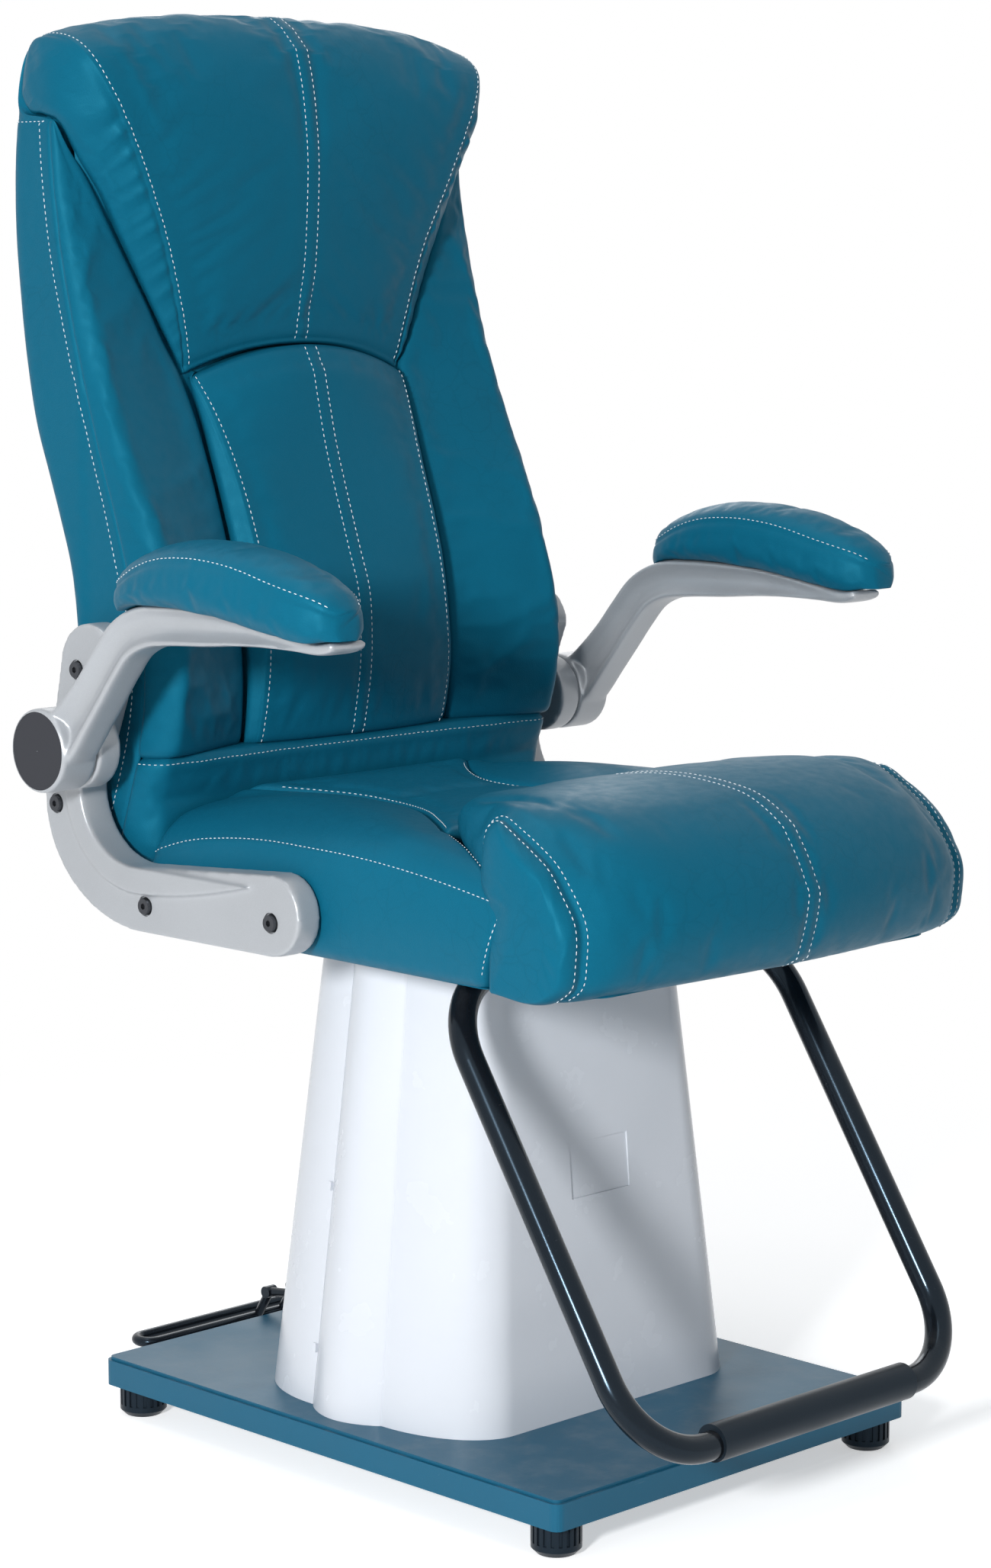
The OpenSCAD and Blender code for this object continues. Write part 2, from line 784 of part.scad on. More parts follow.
module pedal_lever() {
    color(black) difference() {
        union() {
            bar_x(-lever_half_w, lever_half_w, pivot_back, pivot_z, lever_hub_d);
            bar_x(-lever_half_w, lever_half_w, plunger_back, pivot_z, nose_d);
            translate([-lever_half_w, plunger_back, pivot_z - nose_d / 2])
                cube([2 * lever_half_w, plunger_arm, nose_d]);
            pedal_slope() translate([-lever_half_w, 0, -tee_d / 2])
                cube([2 * lever_half_w, lever_reach, tee_d]);
            pedal_slope() translate([-tee_half_w, lever_reach - tee_d, -tee_d / 2])
                cube([2 * tee_half_w, tee_d, tee_d]);
        }
        bar_x(-lever_half_w - eps, lever_half_w + eps, pivot_back, pivot_z,
            pivot_d + 2 * run_gap);
    }
}

// Rod with a given start, end and diameter in the plane across X
module rod_yz(x, a, b, d) {
    v = b - a;
    translate([x, a[0], a[1]]) rotate([-90 + atan2(v[1], v[0]), 0, 0])
        cylinder(h = norm(v), d = d, $fn = small_fn);
}

module pedal_bar() {
    bar = [pedal_back - pedal_bend, pedal_z];
    color(black) {
        translate([0, pedal_back, pedal_z]) {
            for (s = [-1, 1]) bar_x(-pedal_half_w, pedal_half_w, s * pedal_bend, 0,
                pedal_rod_d, small_fn);
            for (s = [0, 1]) rotate(s * 180) translate([pedal_half_w, 0, 0])
                rotate(-90) rotate_extrude(angle = 180, $fn = bore_fn)
                    translate([pedal_bend, 0]) circle(d = pedal_rod_d, $fn = small_fn);
        }
        for (x = [-neck_half_w, neck_half_w]) {
            rod_yz(x, bar, knee, neck_d);
            bar_x(x - knee_d / 2, x + knee_d / 2, knee[0], knee[1], knee_d, small_fn);
            pedal_slope() translate([x, lever_reach, 0]) rotate([-90, 0, 0])
                cylinder(h = norm(knee - [pivot_back, pivot_z]) - lever_reach, d = neck_d,
                    $fn = small_fn);
        }
    }
}

// Seat boards and rails

board_front = 330;
board_back_gap = 12;
board_corner = 24;
seat_bolt_back = 157;
seat_bolt_front = 12;
seat_bolt_z = 512;
seat_bolt_rise = 6;
seat_bolt_places = [[seat_bolt_back, seat_bolt_z], [-seat_bolt_front, seat_bolt_z + seat_bolt_rise]];
rail_up = 4;
rail_h = 42;
rail_front = 44;
rail_back_gap = 8;

module board_solid(grow) {
    r = board_corner;
    translate([0, 0, seat_z - grow]) linear_extrude(seat_board_t + grow) hull()
        for (x = [-1, 1] * (board_half_w - r))
            for (y = [r - board_front, seat_back - board_back_gap - r])
                translate([x, y]) circle(r = r, $fn = small_fn);
}

module rail_solid(grow) {
    mirrored_x() translate([board_half_w + run_gap - grow, -rail_front - grow, seat_z + rail_up - grow])
        cube([rail_t + 2 * grow, rail_front + seat_back - rail_back_gap + 2 * grow,
            rail_h + 2 * grow]);
}

module seat_bolt_holes(d) {
    for (p = seat_bolt_places)
        bar_x(board_half_w + rail_t - bolt_grip, bracket_in + bracket_t, p[0], p[1], d, small_fn);
}

module seat_board() {
    color(ply) difference() {
        board_solid(0);
        plate_bolt_places() translate([0, 0, seat_z - eps])
            cylinder(h = seat_board_t, d = bolt_d + 2 * run_gap, $fn = small_fn);
        clamp_bolt_places() translate([0, 0, seat_z - eps])
            cylinder(h = clamp_bolt_in + eps, d = clamp_bolt_d + 2 * run_gap, $fn = small_fn);
    }
}

module seat_rails() {
    color(ply) difference() {
        rail_solid(0);
        mirrored_x() seat_bolt_holes(bolt_d + 2 * run_gap);
    }
}

// What every seat cushion is cut by
module seat_pockets() {
    board_solid(eps);
    rail_solid(run_gap);
    mirrored_x() seat_bolt_holes(bolt_d + 2 * bolt_gap);
}

// Seat cushions

// Half width of the seat's middle panel at a distance behind the axis
insert_waist = 82;
insert_flare_front = 187;
insert_flare_back = 150;
insert_front = 120;
insert_waist_back = 75;
insert_bow = 14;
function insert_half(y) = y > insert_waist_back
    ? mix(insert_waist, insert_flare_back,
        pow((y - insert_waist_back) / (seat_back - insert_waist_back), 1.6))
    : mix(insert_waist, insert_flare_front,
        pow((insert_waist_back - y) / (insert_waist_back + insert_front), 1.3));

seam_deep = 9;
seam_share = 0.14;
insert_rise_back = 8;
insert_dish = 5;
thigh_crest = 10;
thigh_side_drop = 6;
thigh_nose_drop = 20;
thigh_nose = 80;
thigh_front = 262;
edge_roll = 16;
side_draw = 5;
side_mid_share = 0.55;

function seat_top(y) = seat_z + seat_h + insert_rise_back * pow(max(0, y) / seat_back, 2)
    - insert_dish * hump((y + insert_front) / (seat_back + insert_front));

insert_grid = [for (v = along_shares) [for (u = across_shares)
    let (front = insert_front - insert_bow * hump(u) - 2 * soft_gap,
        y = mix(-front, seat_back, v),
        x = (2 * u - 1) * (insert_half(y) - soft_gap / 2))
    [x, y, seat_top(y) - seam_deep * max(ends_fall(u, seam_share), edge_fall(v, seam_share / 2))
        - edge_roll * edge_fall(1 - v, seam_share / 2)]]];

module seat_insert() {
    color(teal) quilt(insert_grid, [for (row = insert_grid) [for (p = row)
        [p[0], p[1], cushion_floor]]]);
}

// Left thigh pad lies at negative X
function thigh_y(u, v) = mix(-mix(insert_front, thigh_front, u) + soft_gap, seat_back, v);
function thigh_points(outer) = [for (v = along_shares) [for (u = across_shares)
    let (y = thigh_y(u, v))
    [mix(insert_half(y) + soft_gap / 2, outer, u), y,
        seat_top(y) - seam_deep * edge_fall(u, seam_share)
        + thigh_crest * hump(pow(u, 0.8)) * (1 - edge_fall(v, 0.3))
        - (thigh_side_drop + thigh_nose_drop
            * pow(max(0, (-y - thigh_nose) / (thigh_front - thigh_nose)), 2)) * pow(u, 3)
        - edge_roll * edge_fall(1 - u, seam_share)
        - edge_roll * edge_fall(1 - v, seam_share / 2)
        - seam_deep * edge_fall(v, seam_share / 2)]]];

module thigh_pad() {
    middle = thigh_points(seat_half_w);
    quilt(thigh_points(seat_half_w - side_draw / 2),
        [for (row = thigh_points(seat_half_w - side_draw)) [for (p = row) [p[0], p[1], seat_z]]],
        [[for (p = rim_of(middle)) [p[0], p[1], mix(seat_z, p[2], side_mid_share)]]]);
}

module thigh_pad_right() {
    color(teal) difference() {
        thigh_pad();
        seat_pockets();
    }
}

module thigh_pad_left() {
    color(teal) difference() {
        mirror([1, 0, 0]) thigh_pad();
        seat_pockets();
    }
}

// Front bolster, made of profiles across the seat
bolster_bow = 34;
bolster_end_share = 0.035;
bolster_end_draw = 4;
bolster_end_drop = 14;
bolster_stations = [0, 0.008, 0.03, 0.07, 0.14, 0.22, 0.32, 0.41, 0.5,
    0.59, 0.68, 0.78, 0.86, 0.93, 0.97, 0.992, 1];

// Profile as shares of the bolster's depth ahead of its back edge and its height
bolster_profile_shares = [[0, 0], [0.8, 0.01], [0.92, 0.06], [0.985, 0.22],
    [1, 0.42], [0.985, 0.62], [0.94, 0.8], [0.85, 0.92], [0.7, 0.985], [0.5, 1],
    [0.3, 0.975], [0.12, 0.93], [0.03, 0.86], [0, 0.76]];

function bolster_back(x) = let (a = abs(x))
    a < insert_flare_front ? -(insert_front - insert_bow * cos(90 * a / insert_flare_front))
        : -mix(insert_front, thigh_front, (a - insert_flare_front) / (seat_half_w - insert_flare_front));

function bolster_ring(u) =
    let (x = mix(-seat_half_w, seat_half_w, u),
        back = bolster_back(x) - soft_gap,
        front = -(seat_front - bolster_bow * pow(2 * u - 1, 2))
            + bolster_end_draw * ends_fall(u, bolster_end_share),
        high = bolster_h - bolster_end_drop * pow(2 * u - 1, 4)
            - 1.6 * bolster_end_draw * ends_fall(u, bolster_end_share))
    [for (s = bolster_profile_shares) [x, back + (front - back) * s[0], seat_z + high * s[1]]];

module bolster_solid() {
    loft([for (u = bolster_stations) bolster_ring(u)]);
}

module seat_bolster() {
    color(teal) difference() {
        bolster_solid();
        board_solid(eps);
    }
}

// Back

// Plane in which the front cushions end and the board starts
back_slope = 0.1;
back_plane_foot = 249;
plane_clear = 1;
function back_plane(z) = back_plane_foot + back_slope * (z - back_z);

// Depth of the back's front, behind the lumbar's front, by height share
lumbar_shares = [[0, 0.3], [0.05, 0.13], [0.09, 0.07], [0.13, 0.03], [0.175, 0], [0.225, 0],
    [0.285, 0.035], [0.33, 0.12], [0.36, 0.17], [0.41, 0.26], [0.465, 0.35], [0.515, 0.41],
    [0.56, 0.49], [0.595, 0.58]];
wing_shares = [[0, 0.14], [0.11, -0.08], [0.175, -0.15], [0.235, -0.15], [0.355, 0.03],
    [0.475, 0.34], [0.595, 0.6], [0.715, 0.78], [0.775, 0.88], [0.85, 0.97], [0.95, 1]];
channel_shares = [[0.09, 0.17], [0.18, 0.12], [0.25, 0.15], [0.315, 0.21], [0.38, 0.31],
    [0.45, 0.43], [0.515, 0.57], [0.56, 0.67], [0.64, 0.71], [0.72, 0.75], [0.8, 0.81],
    [0.86, 0.91], [0.95, 1]];
back_depth = 142;
function by_height(z, shares) = lumbar_front + back_depth * lookup((z - back_z) / back_h, shares);

// Half width of the middle panels by height share
panel_shares = [[0, 0.5], [0.385, 0.502], [0.45, 0.508], [0.515, 0.52], [0.552, 0.53],
    [0.597, 0.592], [0.64, 0.65], [0.683, 0.712], [0.722, 0.769], [0.761, 0.819], [0.798, 0.877],
    [0.83, 0.925], [0.884, 0.94], [0.905, 0.975], [1, 0.96]];
function panel_half(z) = back_half_w * lookup((z - back_z) / back_h, panel_shares);

// Half width of the whole back by height share
outer_shares = [[0, 0.985], [0.03, 1], [0.87, 0.985], [0.92, 0.975], [0.96, 0.95], [1, 0.9]];
function outer_half(z) = back_half_w * lookup((z - back_z) / back_h, outer_shares);

// Side edge of the back's rear by height share, behind the lumbar's front
rear_shares = [[0, 0.95], [0.04, 0.96], [0.2, 0.9], [0.26, 0.9], [0.32, 0.94], [0.38, 1.05],
    [0.435, 1.17], [0.49, 1.28], [0.55, 1.36], [0.6, 1.4], [0.66, 1.44], [0.715, 1.465],
    [0.77, 1.47], [0.83, 1.46], [0.88, 1.41], [0.92, 1.32], [0.96, 1.18], [0.985, 1.06], [1, 0.98]];
rear_crown = 7;

band_top_share = 0.09;
arc_mid_share = 0.592;
arc_drop = 21;
band_top = back_z + back_h * band_top_share;
arc_mid = back_z + back_h * arc_mid_share;

function on_plane(grid) = [for (row = grid) [for (p = row) [p[0], back_plane(p[2]), p[2]]]];

// Lower band
band_grid = [for (v = [0, 0.08, 0.25, 0.5, 0.75, 0.92, 1]) [for (u = across_shares)
    let (z = mix(back_z, band_top - soft_gap / 2, v),
        w = outer_half(z))
    [(2 * u - 1) * w, by_height(z, lumbar_shares) + seam_deep * edge_fall(1 - v, 0.3)
        + edge_roll * edge_fall(v, 0.4) + 1.6 * edge_roll * ends_fall(u, 0.1), z]]];

module lower_band() {
    color(teal) difference() {
        quilt(band_grid, on_plane(band_grid));
        back_pockets();
    }
}

// Lumbar pad, with an arched upper edge
lumbar_grid = [for (v = along_shares) [for (u = across_shares)
    let (top = arc_mid - arc_drop * pow(2 * u - 1, 2) - soft_gap / 2,
        z = mix(band_top + soft_gap / 2, top, v),
        w = panel_half(z) - soft_gap / 2)
    [(2 * u - 1) * w, by_height(z, lumbar_shares)
        + seam_deep * max(ends_fall(u, seam_share), ends_fall(v, seam_share / 2))
        + seam_deep / 2 * pow(2 * u - 1, 2) * pow(v, 4), z]]];

module lumbar_pad() {
    color(teal) quilt(lumbar_grid, on_plane(lumbar_grid));
}

// Headrest, whose rows run up its front and over its top
head_roll = 56;
head_corner_drop = 32;
head_front_shares = [[0, 0.59], [0.1, 0.565], [0.3, 0.535], [0.6, 0.5], [1, 0.5]];
head_side_back = 10;
head_knee = back_top - head_roll;
function top_at(across) = back_top - head_corner_drop * pow(across, 4);
function head_path(v) = v < 0.72
    ? let (t = v / 0.72) [lumbar_front + back_depth * lookup(t, head_front_shares),
        mix(arc_mid + soft_gap / 2, head_knee, t)]
    : let (a = 90 * (v - 0.72) / 0.28)
        [mix(lumbar_front + back_depth * 0.5, back_plane(back_top) - 2 * plane_clear, 1 - cos(a)),
            head_knee + head_roll * sin(a)];

head_shares = [0, 0.015, 0.05, 0.12, 0.22, 0.34, 0.46, 0.58, 0.66, 0.72, 0.78, 0.84, 0.9, 0.95, 1];
head_grid = [for (v = head_shares) [for (u = across_shares)
    let (p = head_path(v),
        fall = pow(2 * u - 1, 2),
        z = p[1] - arc_drop * fall * pow(1 - v, 3) - head_corner_drop * pow(fall, 2) * pow(v, 3),
        w = min(panel_half(z), outer_half(z)) - 2 * soft_gap)
    [(2 * u - 1) * w, min(back_plane(z) - plane_clear, p[0] + head_side_back * fall
        + seam_deep * max(ends_fall(u, seam_share), edge_fall(v, seam_share / 2))), z]]];

module headrest() {
    color(teal) quilt(head_grid, on_plane(head_grid));
}

// Wing beside the lumbar pad and the headrest, at positive X
wing_top_share = 0.875;
wing_top = back_z + back_h * wing_top_share;
wing_bulge = 6;
wing_grid = [for (v = along_shares) [for (u = across_shares)
    let (z = mix(band_top + soft_gap / 2, wing_top, v),
        x0 = panel_half(z) + soft_gap / 2,
        x1 = outer_half(z))
    [mix(x0, x1, u), mix(by_height(z, channel_shares), by_height(z, wing_shares), ease(min(1, 1.4 * u)))
        - wing_bulge * hump(u) + seam_deep * edge_fall(v, seam_share / 3)
        + 1.6 * edge_roll * edge_fall(1 - u, 0.28), z]]];

module wing_solid() {
    quilt(wing_grid, on_plane(wing_grid));
}

module wing_right() {
    color(teal) difference() {
        wing_solid();
        back_pockets();
    }
}

module wing_left() {
    color(teal) difference() {
        mirror([1, 0, 0]) wing_solid();
        back_pockets();
    }
}

// Rear shell behind the board's plane
shell_grid = [for (v = along_shares) [for (u = across_shares)
    let (across = 2 * u - 1,
        z = mix(back_z, top_at(across), v),
        w = outer_half(z))
    [-across * w, max(back_plane(z) + plane_clear, by_height(z, rear_shares)
        + rear_crown * (1 - pow(across, 2))
        - edge_roll * ends_fall(u, 0.12) - edge_roll * edge_fall(v, 0.06)), z]]];

module back_shell() {
    color(teal) difference() {
        quilt(shell_grid, on_plane(shell_grid));
        back_board_solid(run_gap);
        back_pockets();
    }
}

// Board on the plane, between the rails
back_board_low = 10;
back_board_h = 690;
back_tilt = atan(back_slope);
module back_board_solid(grow) {
    translate([0, back_plane(back_z + back_board_low), back_z + back_board_low])
        rotate([-back_tilt, 0, 0]) translate([-board_half_w - grow, -grow / 2, -grow])
            cube([2 * (board_half_w + grow), back_board_t + grow, back_board_h + 2 * grow]);
}

module back_board() {
    color(ply) back_board_solid(0);
}

back_bolt_places = [[250, 717], [282, 592]];
rail_outline = [[236, 738], [268, 738], [291, 620], [291, 582], [254, 582], [240, 640]];
rail_in = board_half_w + run_gap;
back_rail_t = 26;

module back_rail_solid() {
    side_slab(rail_in, rail_in + back_rail_t) polygon(rail_outline);
}

module back_rail_pocket() {
    side_slab(rail_in - run_gap, rail_in + back_rail_t + run_gap)
        offset(delta = run_gap) polygon(rail_outline);
}

module back_bolt_holes(d) {
    for (p = back_bolt_places)
        bar_x(rail_in + back_rail_t - bolt_grip, bracket_in + bracket_t, p[0], p[1], d, small_fn);
}

module back_rails() {
    color(ply) mirrored_x() difference() {
        back_rail_solid();
        back_bolt_holes(bolt_d + 2 * run_gap);
    }
}

module back_pockets() {
    mirrored_x() {
        back_rail_pocket();
        back_bolt_holes(bolt_d + 2 * bolt_gap);
    }
}

// Brackets

bracket_steps = 10;
bend_back = 165;
bend_z = 600;
bend_rear = 300;
bend_low = 487;
inner_bend_back = 168;
inner_bend_z = 612;
inner_rear = 240;
inner_low = 547;
lobe_back = 234;
lobe_z = 720;
lobe_r = 40;
end_front = 12;
end_z = 524;
end_r = 36;
raised_rear = 262;
raised_low = 525;
raised_front = 6;
raised_t = 3;

function bend_arc(c, rear, low, from) = [for (k = [0 : bracket_steps])
    oval(c, rear - c[0], c[1] - low, from - 90 * k / bracket_steps)];
inner_arc = [for (k = [bracket_steps : -1 : 0])
    bend_arc([inner_bend_back, inner_bend_z], inner_rear, inner_low, 0)[k]];

bracket_outline = concat(
    [for (k = [0 : bracket_steps]) oval([lobe_back, lobe_z], lobe_r, lobe_r,
        175 - 170 * k / bracket_steps)],
    bend_arc([bend_back, bend_z], bend_rear, bend_low, 0),
    [for (k = [0 : bracket_steps]) oval([-end_front, end_z], end_r, end_r,
        -90 - 180 * k / bracket_steps)],
    inner_arc);

// Raised band along the bracket's inner edge, which runs out to the front
raised_outline = concat(inner_arc, [[inner_rear, hub_z], [raised_rear, hub_z]],
    bend_arc([inner_bend_back, bend_z], raised_rear, raised_low, 0),
    [for (k = [1 : bracket_steps]) let (t = k / bracket_steps)
        [mix(inner_bend_back, raised_front, t), mix(raised_low, end_z + end_r, t * t)]]);

all_bolt_places = concat(back_bolt_places, seat_bolt_places);

// Distance from the bracket's inner face to the start of its hub
hub_set = 20;

module bracket_solid() {
    hub_end = arm_out - arm_w - hinge_gap;
    difference() {
        union() {
            side_slab(bracket_in, bracket_in + bracket_t) polygon(bracket_outline);
            side_slab(bracket_in, bracket_in + bracket_t + raised_t) polygon(raised_outline);
            bar_x(bracket_in + hub_set, hub_end, hub_back, hub_z, hub_d);
        }
        bar_x(bracket_in + hub_set + bolt_sink, hub_end + eps, hub_back, hub_z,
            hub_pin_d + 2 * run_gap);
        for (p = all_bolt_places) {
            bar_x(bracket_in - eps, bracket_in + bracket_t + eps, p[0], p[1],
                bolt_d + 2 * bolt_gap, small_fn);
            bar_x(bracket_in + bracket_t - bolt_sink, bracket_in + bracket_t + eps, p[0], p[1],
                bolt_head_d + 2 * bolt_gap, small_fn);
        }
    }
}

module bracket_right() {
    color(silver) bracket_solid();
}

module bracket_left() {
    color(silver) mirror([1, 0, 0]) bracket_solid();
}

// Bolt through the bracket into a rail, with a domed head and a socket
module bracket_bolt(y, z, start) {
    seat = bracket_in + bracket_t - bolt_sink;
    difference() {
        union() {
            bar_x(start, seat + eps, y, z, bolt_d, small_fn);
            translate([seat, y, z]) rotate([0, 90, 0])
                cylinder(h = bolt_head_t, d1 = bolt_head_d, d2 = bolt_head_d - bolt_sink,
                    $fn = small_fn);
        }
        bar_x(seat + bolt_head_t - hex_socket_deep, seat + bolt_head_t + eps, y, z,
            hex_socket_d, 6);
    }
}

module bracket_bolts() {
    color(dark) mirrored_x() {
        for (p = back_bolt_places)
            bracket_bolt(p[0], p[1], rail_in + back_rail_t - bolt_grip + eps);
        for (p = seat_bolt_places)
            bracket_bolt(p[0], p[1], board_half_w + rail_t - bolt_grip + eps);
    }
}

cap_wall = 3;
cap_lip = 3;
module hub_pins() {
    color(steel) mirrored_x() bar_x(bracket_in + hub_set + bolt_sink,
        arm_out - cap_lip - cap_wall - face_gap, hub_back, hub_z, hub_pin_d);
}

// Arms

// Arm's centre line past the hub, as distance behind the axis and height
// above the hub, with its thickness there
arm_knots = [[186, 36, 42], [162, 58, 38], [142, 84, 38], [122, 108, 38], [96, 121, 38],
    [60, 124, 36], [10, 125.5, 34], [-30, 126, 27], [-66, 124, 21], [-105, 121, 15],
    [-135, 119, 12], [-151, 120, 10], [-162, 123, 8]];

function arm_side(s) = [for (n = [0 : len(arm_knots) - 1])
    let (k = arm_knots[n],
        a = arm_knots[max(0, n - 1)],
        b = arm_knots[min(len(arm_knots) - 1, n + 1)],
        v = [b[0] - a[0], b[1] - a[1]],
        side = [-v[1], v[0]] / norm(v))
    [k[0], hub_z + k[1]] - s * k[2] / 2 * side];

arm_outline = concat([[hub_back - hub_d / 8, hub_z + hub_d * 0.47]], arm_side(1),
    [for (n = [len(arm_knots) - 1 : -1 : 0]) arm_side(-1)[n]],
    [[hub_back - hub_d * 0.42, hub_z - hub_d * 0.2]]);

flute_deep = 4;
flute_share = 0.42;
flute_last = 9;
flute_outline = concat(
    [for (n = [0 : flute_last]) mix(arm_side(1)[n], arm_side(-1)[n], 0.5 - flute_share / 2)],
    [for (n = [flute_last : -1 : 0]) mix(arm_side(1)[n], arm_side(-1)[n], 0.5 + flute_share / 2)]);

module arm_solid() {
    inner = arm_out - arm_w;
    difference() {
        union() {
            side_slab(inner, arm_out) polygon(arm_outline);
            bar_x(inner, arm_out, hub_back, hub_z, hub_d);
        }
        side_slab(arm_out - flute_deep, arm_out + eps) polygon(flute_outline);
        side_slab(inner - eps, inner + flute_deep) polygon(flute_outline);
        bar_x(inner - eps, arm_out - cap_lip, hub_back, hub_z, hub_pin_d + 2 * run_gap);
        bar_x(arm_out - cap_lip - cap_wall, arm_out + eps, hub_back, hub_z, hub_d - 2 * cap_lip);
    }
}

module arm_right() {
    color(silver) arm_solid();
}

module arm_left() {
    color(silver) mirror([1, 0, 0]) arm_solid();
}

module hub_cap() {
    bar_x(arm_out - cap_lip - cap_wall + run_gap, arm_out - cap_lip / 3, hub_back, hub_z,
        hub_d - 2 * cap_lip - 2 * run_gap);
}

module hub_cap_right() {
    color(dark) hub_cap();
}

module hub_cap_left() {
    color(dark) mirror([1, 0, 0]) hub_cap();
}

// Pad, whose floor follows the arm's upper edge
function arm_top(y) = hub_z + lookup(y, [for (n = [0 : len(arm_knots) - 1])
    [arm_side(1)[n][0], arm_side(1)[n][1] - hub_z]]);
pad_floor_gap = 0.8;
pad_stations = [0, 0.01, 0.035, 0.08, 0.16, 0.3, 0.45, 0.6, 0.74, 0.86, 0.93, 0.946, 0.97, 0.992,
    1];
pad_profile_shares = [[0.8, 0], [0.97, 0.12], [1, 0.35], [0.93, 0.62], [0.72, 0.84], [0.4, 0.96],
    [0, 1], [-0.4, 0.96], [-0.72, 0.84], [-0.93, 0.62], [-1, 0.35], [-0.97, 0.12], [-0.8, 0]];

module arm_pad() {
    rings = [for (v = pad_stations)
        let (y = mix(-pad_front, pad_back, v),
            end = ends_fall(v, 0.13),
            w = pad_w / 2 * (1 - 0.55 * end) * mix(1, 0.86, pow(v, 2)),
            h = pad_h * (0.8 + 0.2 * hump(v)) * (1 - 0.5 * end),
            floor_z = arm_top(y) + pad_floor_gap)
        [for (s = pad_profile_shares) [pad_mid + s[0] * w, y, floor_z + s[1] * h]]];
    loft(rings);
}

module arm_pad_right() {
    color(teal) arm_pad();
}

module arm_pad_left() {
    color(teal) mirror([1, 0, 0]) arm_pad();
}

// Footrest

rest_top_z = seat_z - rest_d / 2;
rest_rise = rest_top_z - rest_bar_z;
rest_run = rest_front - rest_top_front;
rest_slope = norm([rest_rise, rest_run]);
rest_tilt = atan(rest_run / rest_rise);

// Frame of the footrest's slanted plane, X across and Y up along the slope
module rest_plane() {
    translate([0, -rest_front, rest_bar_z]) rotate([90 - rest_tilt, 0, 0]) children();
}

module rest_pipe(h) {
    difference() {
        cylinder(h = h, d = rest_d, $fn = bore_fn);
        translate([0, 0, -eps]) cylinder(h = h + 2 * eps, d = rest_d - 2 * rest_wall, $fn = bore_fn);
    }
}

module rest_elbow() {
    rotate_extrude(angle = 90, $fn = 2 * bore_fn) translate([rest_bend, 0]) difference() {
        circle(d = rest_d, $fn = bore_fn);
        circle(d = rest_d - 2 * rest_wall, $fn = bore_fn);
    }
}

module footrest_frame() {
    corner = rest_half_w - rest_bend;
    color(black) rest_plane() {
        translate([-corner, 0, 0]) rotate([0, 90, 0]) rest_pipe(2 * corner);
        mirrored_x() {
            translate([corner, rest_bend, 0]) rotate(-90) rest_elbow();
            translate([rest_half_w, rest_bend, 0]) rotate([-90, 0, 0])
                rest_pipe(rest_slope - 2 * rest_bend);
            translate([corner, rest_slope - rest_bend, 0]) rest_elbow();
            translate([rest_end, rest_slope, 0]) rotate([0, 90, 0]) rest_pipe(corner - rest_end);
        }
    }
}

module footrest_sleeve() {
    color(dark) rest_plane() difference() {
        translate([-sleeve_half_w, sleeve_shift, 0]) rotate([0, 90, 0])
            cylinder(h = 2 * sleeve_half_w, d = sleeve_d, $fn = bore_fn);
        translate([-sleeve_half_w - eps, 0, 0]) rotate([0, 90, 0])
            cylinder(h = 2 * (sleeve_half_w + eps), d = rest_d + 2 * run_gap, $fn = bore_fn);
    }
}

clamp_x = rest_end + clamp_ear / 4;
module clamp_bolt_places() {
    for (sx = [-1, 1]) for (sy = [-1, 1])
        translate([sx * (clamp_x + clamp_w / 2),
            sy * (rest_d / 2 + clamp_t + clamp_ear / 2) - rest_top_front, 0]) children();
}

module footrest_clamps() {
    color(steel) difference() {
        mirrored_x() union() {
            bar_x(clamp_x, clamp_x + clamp_w, -rest_top_front, rest_top_z,
                rest_d + 2 * clamp_t + 2 * run_gap);
            translate([clamp_x, -rest_top_front - rest_d / 2 - clamp_t - clamp_ear,
                seat_z - clamp_t])
                cube([clamp_w, rest_d + 2 * clamp_t + 2 * clamp_ear, clamp_t]);
        }
        mirrored_x() bar_x(clamp_x - eps, clamp_x + clamp_w + eps, -rest_top_front, rest_top_z,
            rest_d + 2 * run_gap);
        mirrored_x() translate([clamp_x - eps, -rest_top_front - rest_d / 2 - run_gap, rest_top_z])
            cube([clamp_w + 2 * eps, rest_d + 2 * run_gap, rest_d]);
        translate([-seat_half_w, -seat_front, seat_z])
            cube([2 * seat_half_w, seat_front, rest_d]);
        clamp_bolt_places() translate([0, 0, seat_z - 2 * clamp_t])
            cylinder(h = 3 * clamp_t, d = clamp_bolt_d + 2 * bolt_gap, $fn = small_fn);
    }
}

module clamp_bolts() {
    color(dark) clamp_bolt_places() translate([0, 0, seat_z - clamp_t - clamp_bolt_head]) {
        cylinder(h = clamp_bolt_head, d = 2 * clamp_bolt_d, $fn = small_fn);
        cylinder(h = clamp_bolt_head + clamp_t + clamp_bolt_in - eps, d = clamp_bolt_d,
            $fn = small_fn);
    }
}

module footrest_caps() {
    color(black) mirrored_x() {
        bar_x(rest_end - cap_t, rest_end, -rest_top_front, rest_top_z, rest_d);
        bar_x(rest_end - eps, rest_end + cap_plug, -rest_top_front, rest_top_z,
            rest_d - 2 * rest_wall - 2 * run_gap);
    }
}

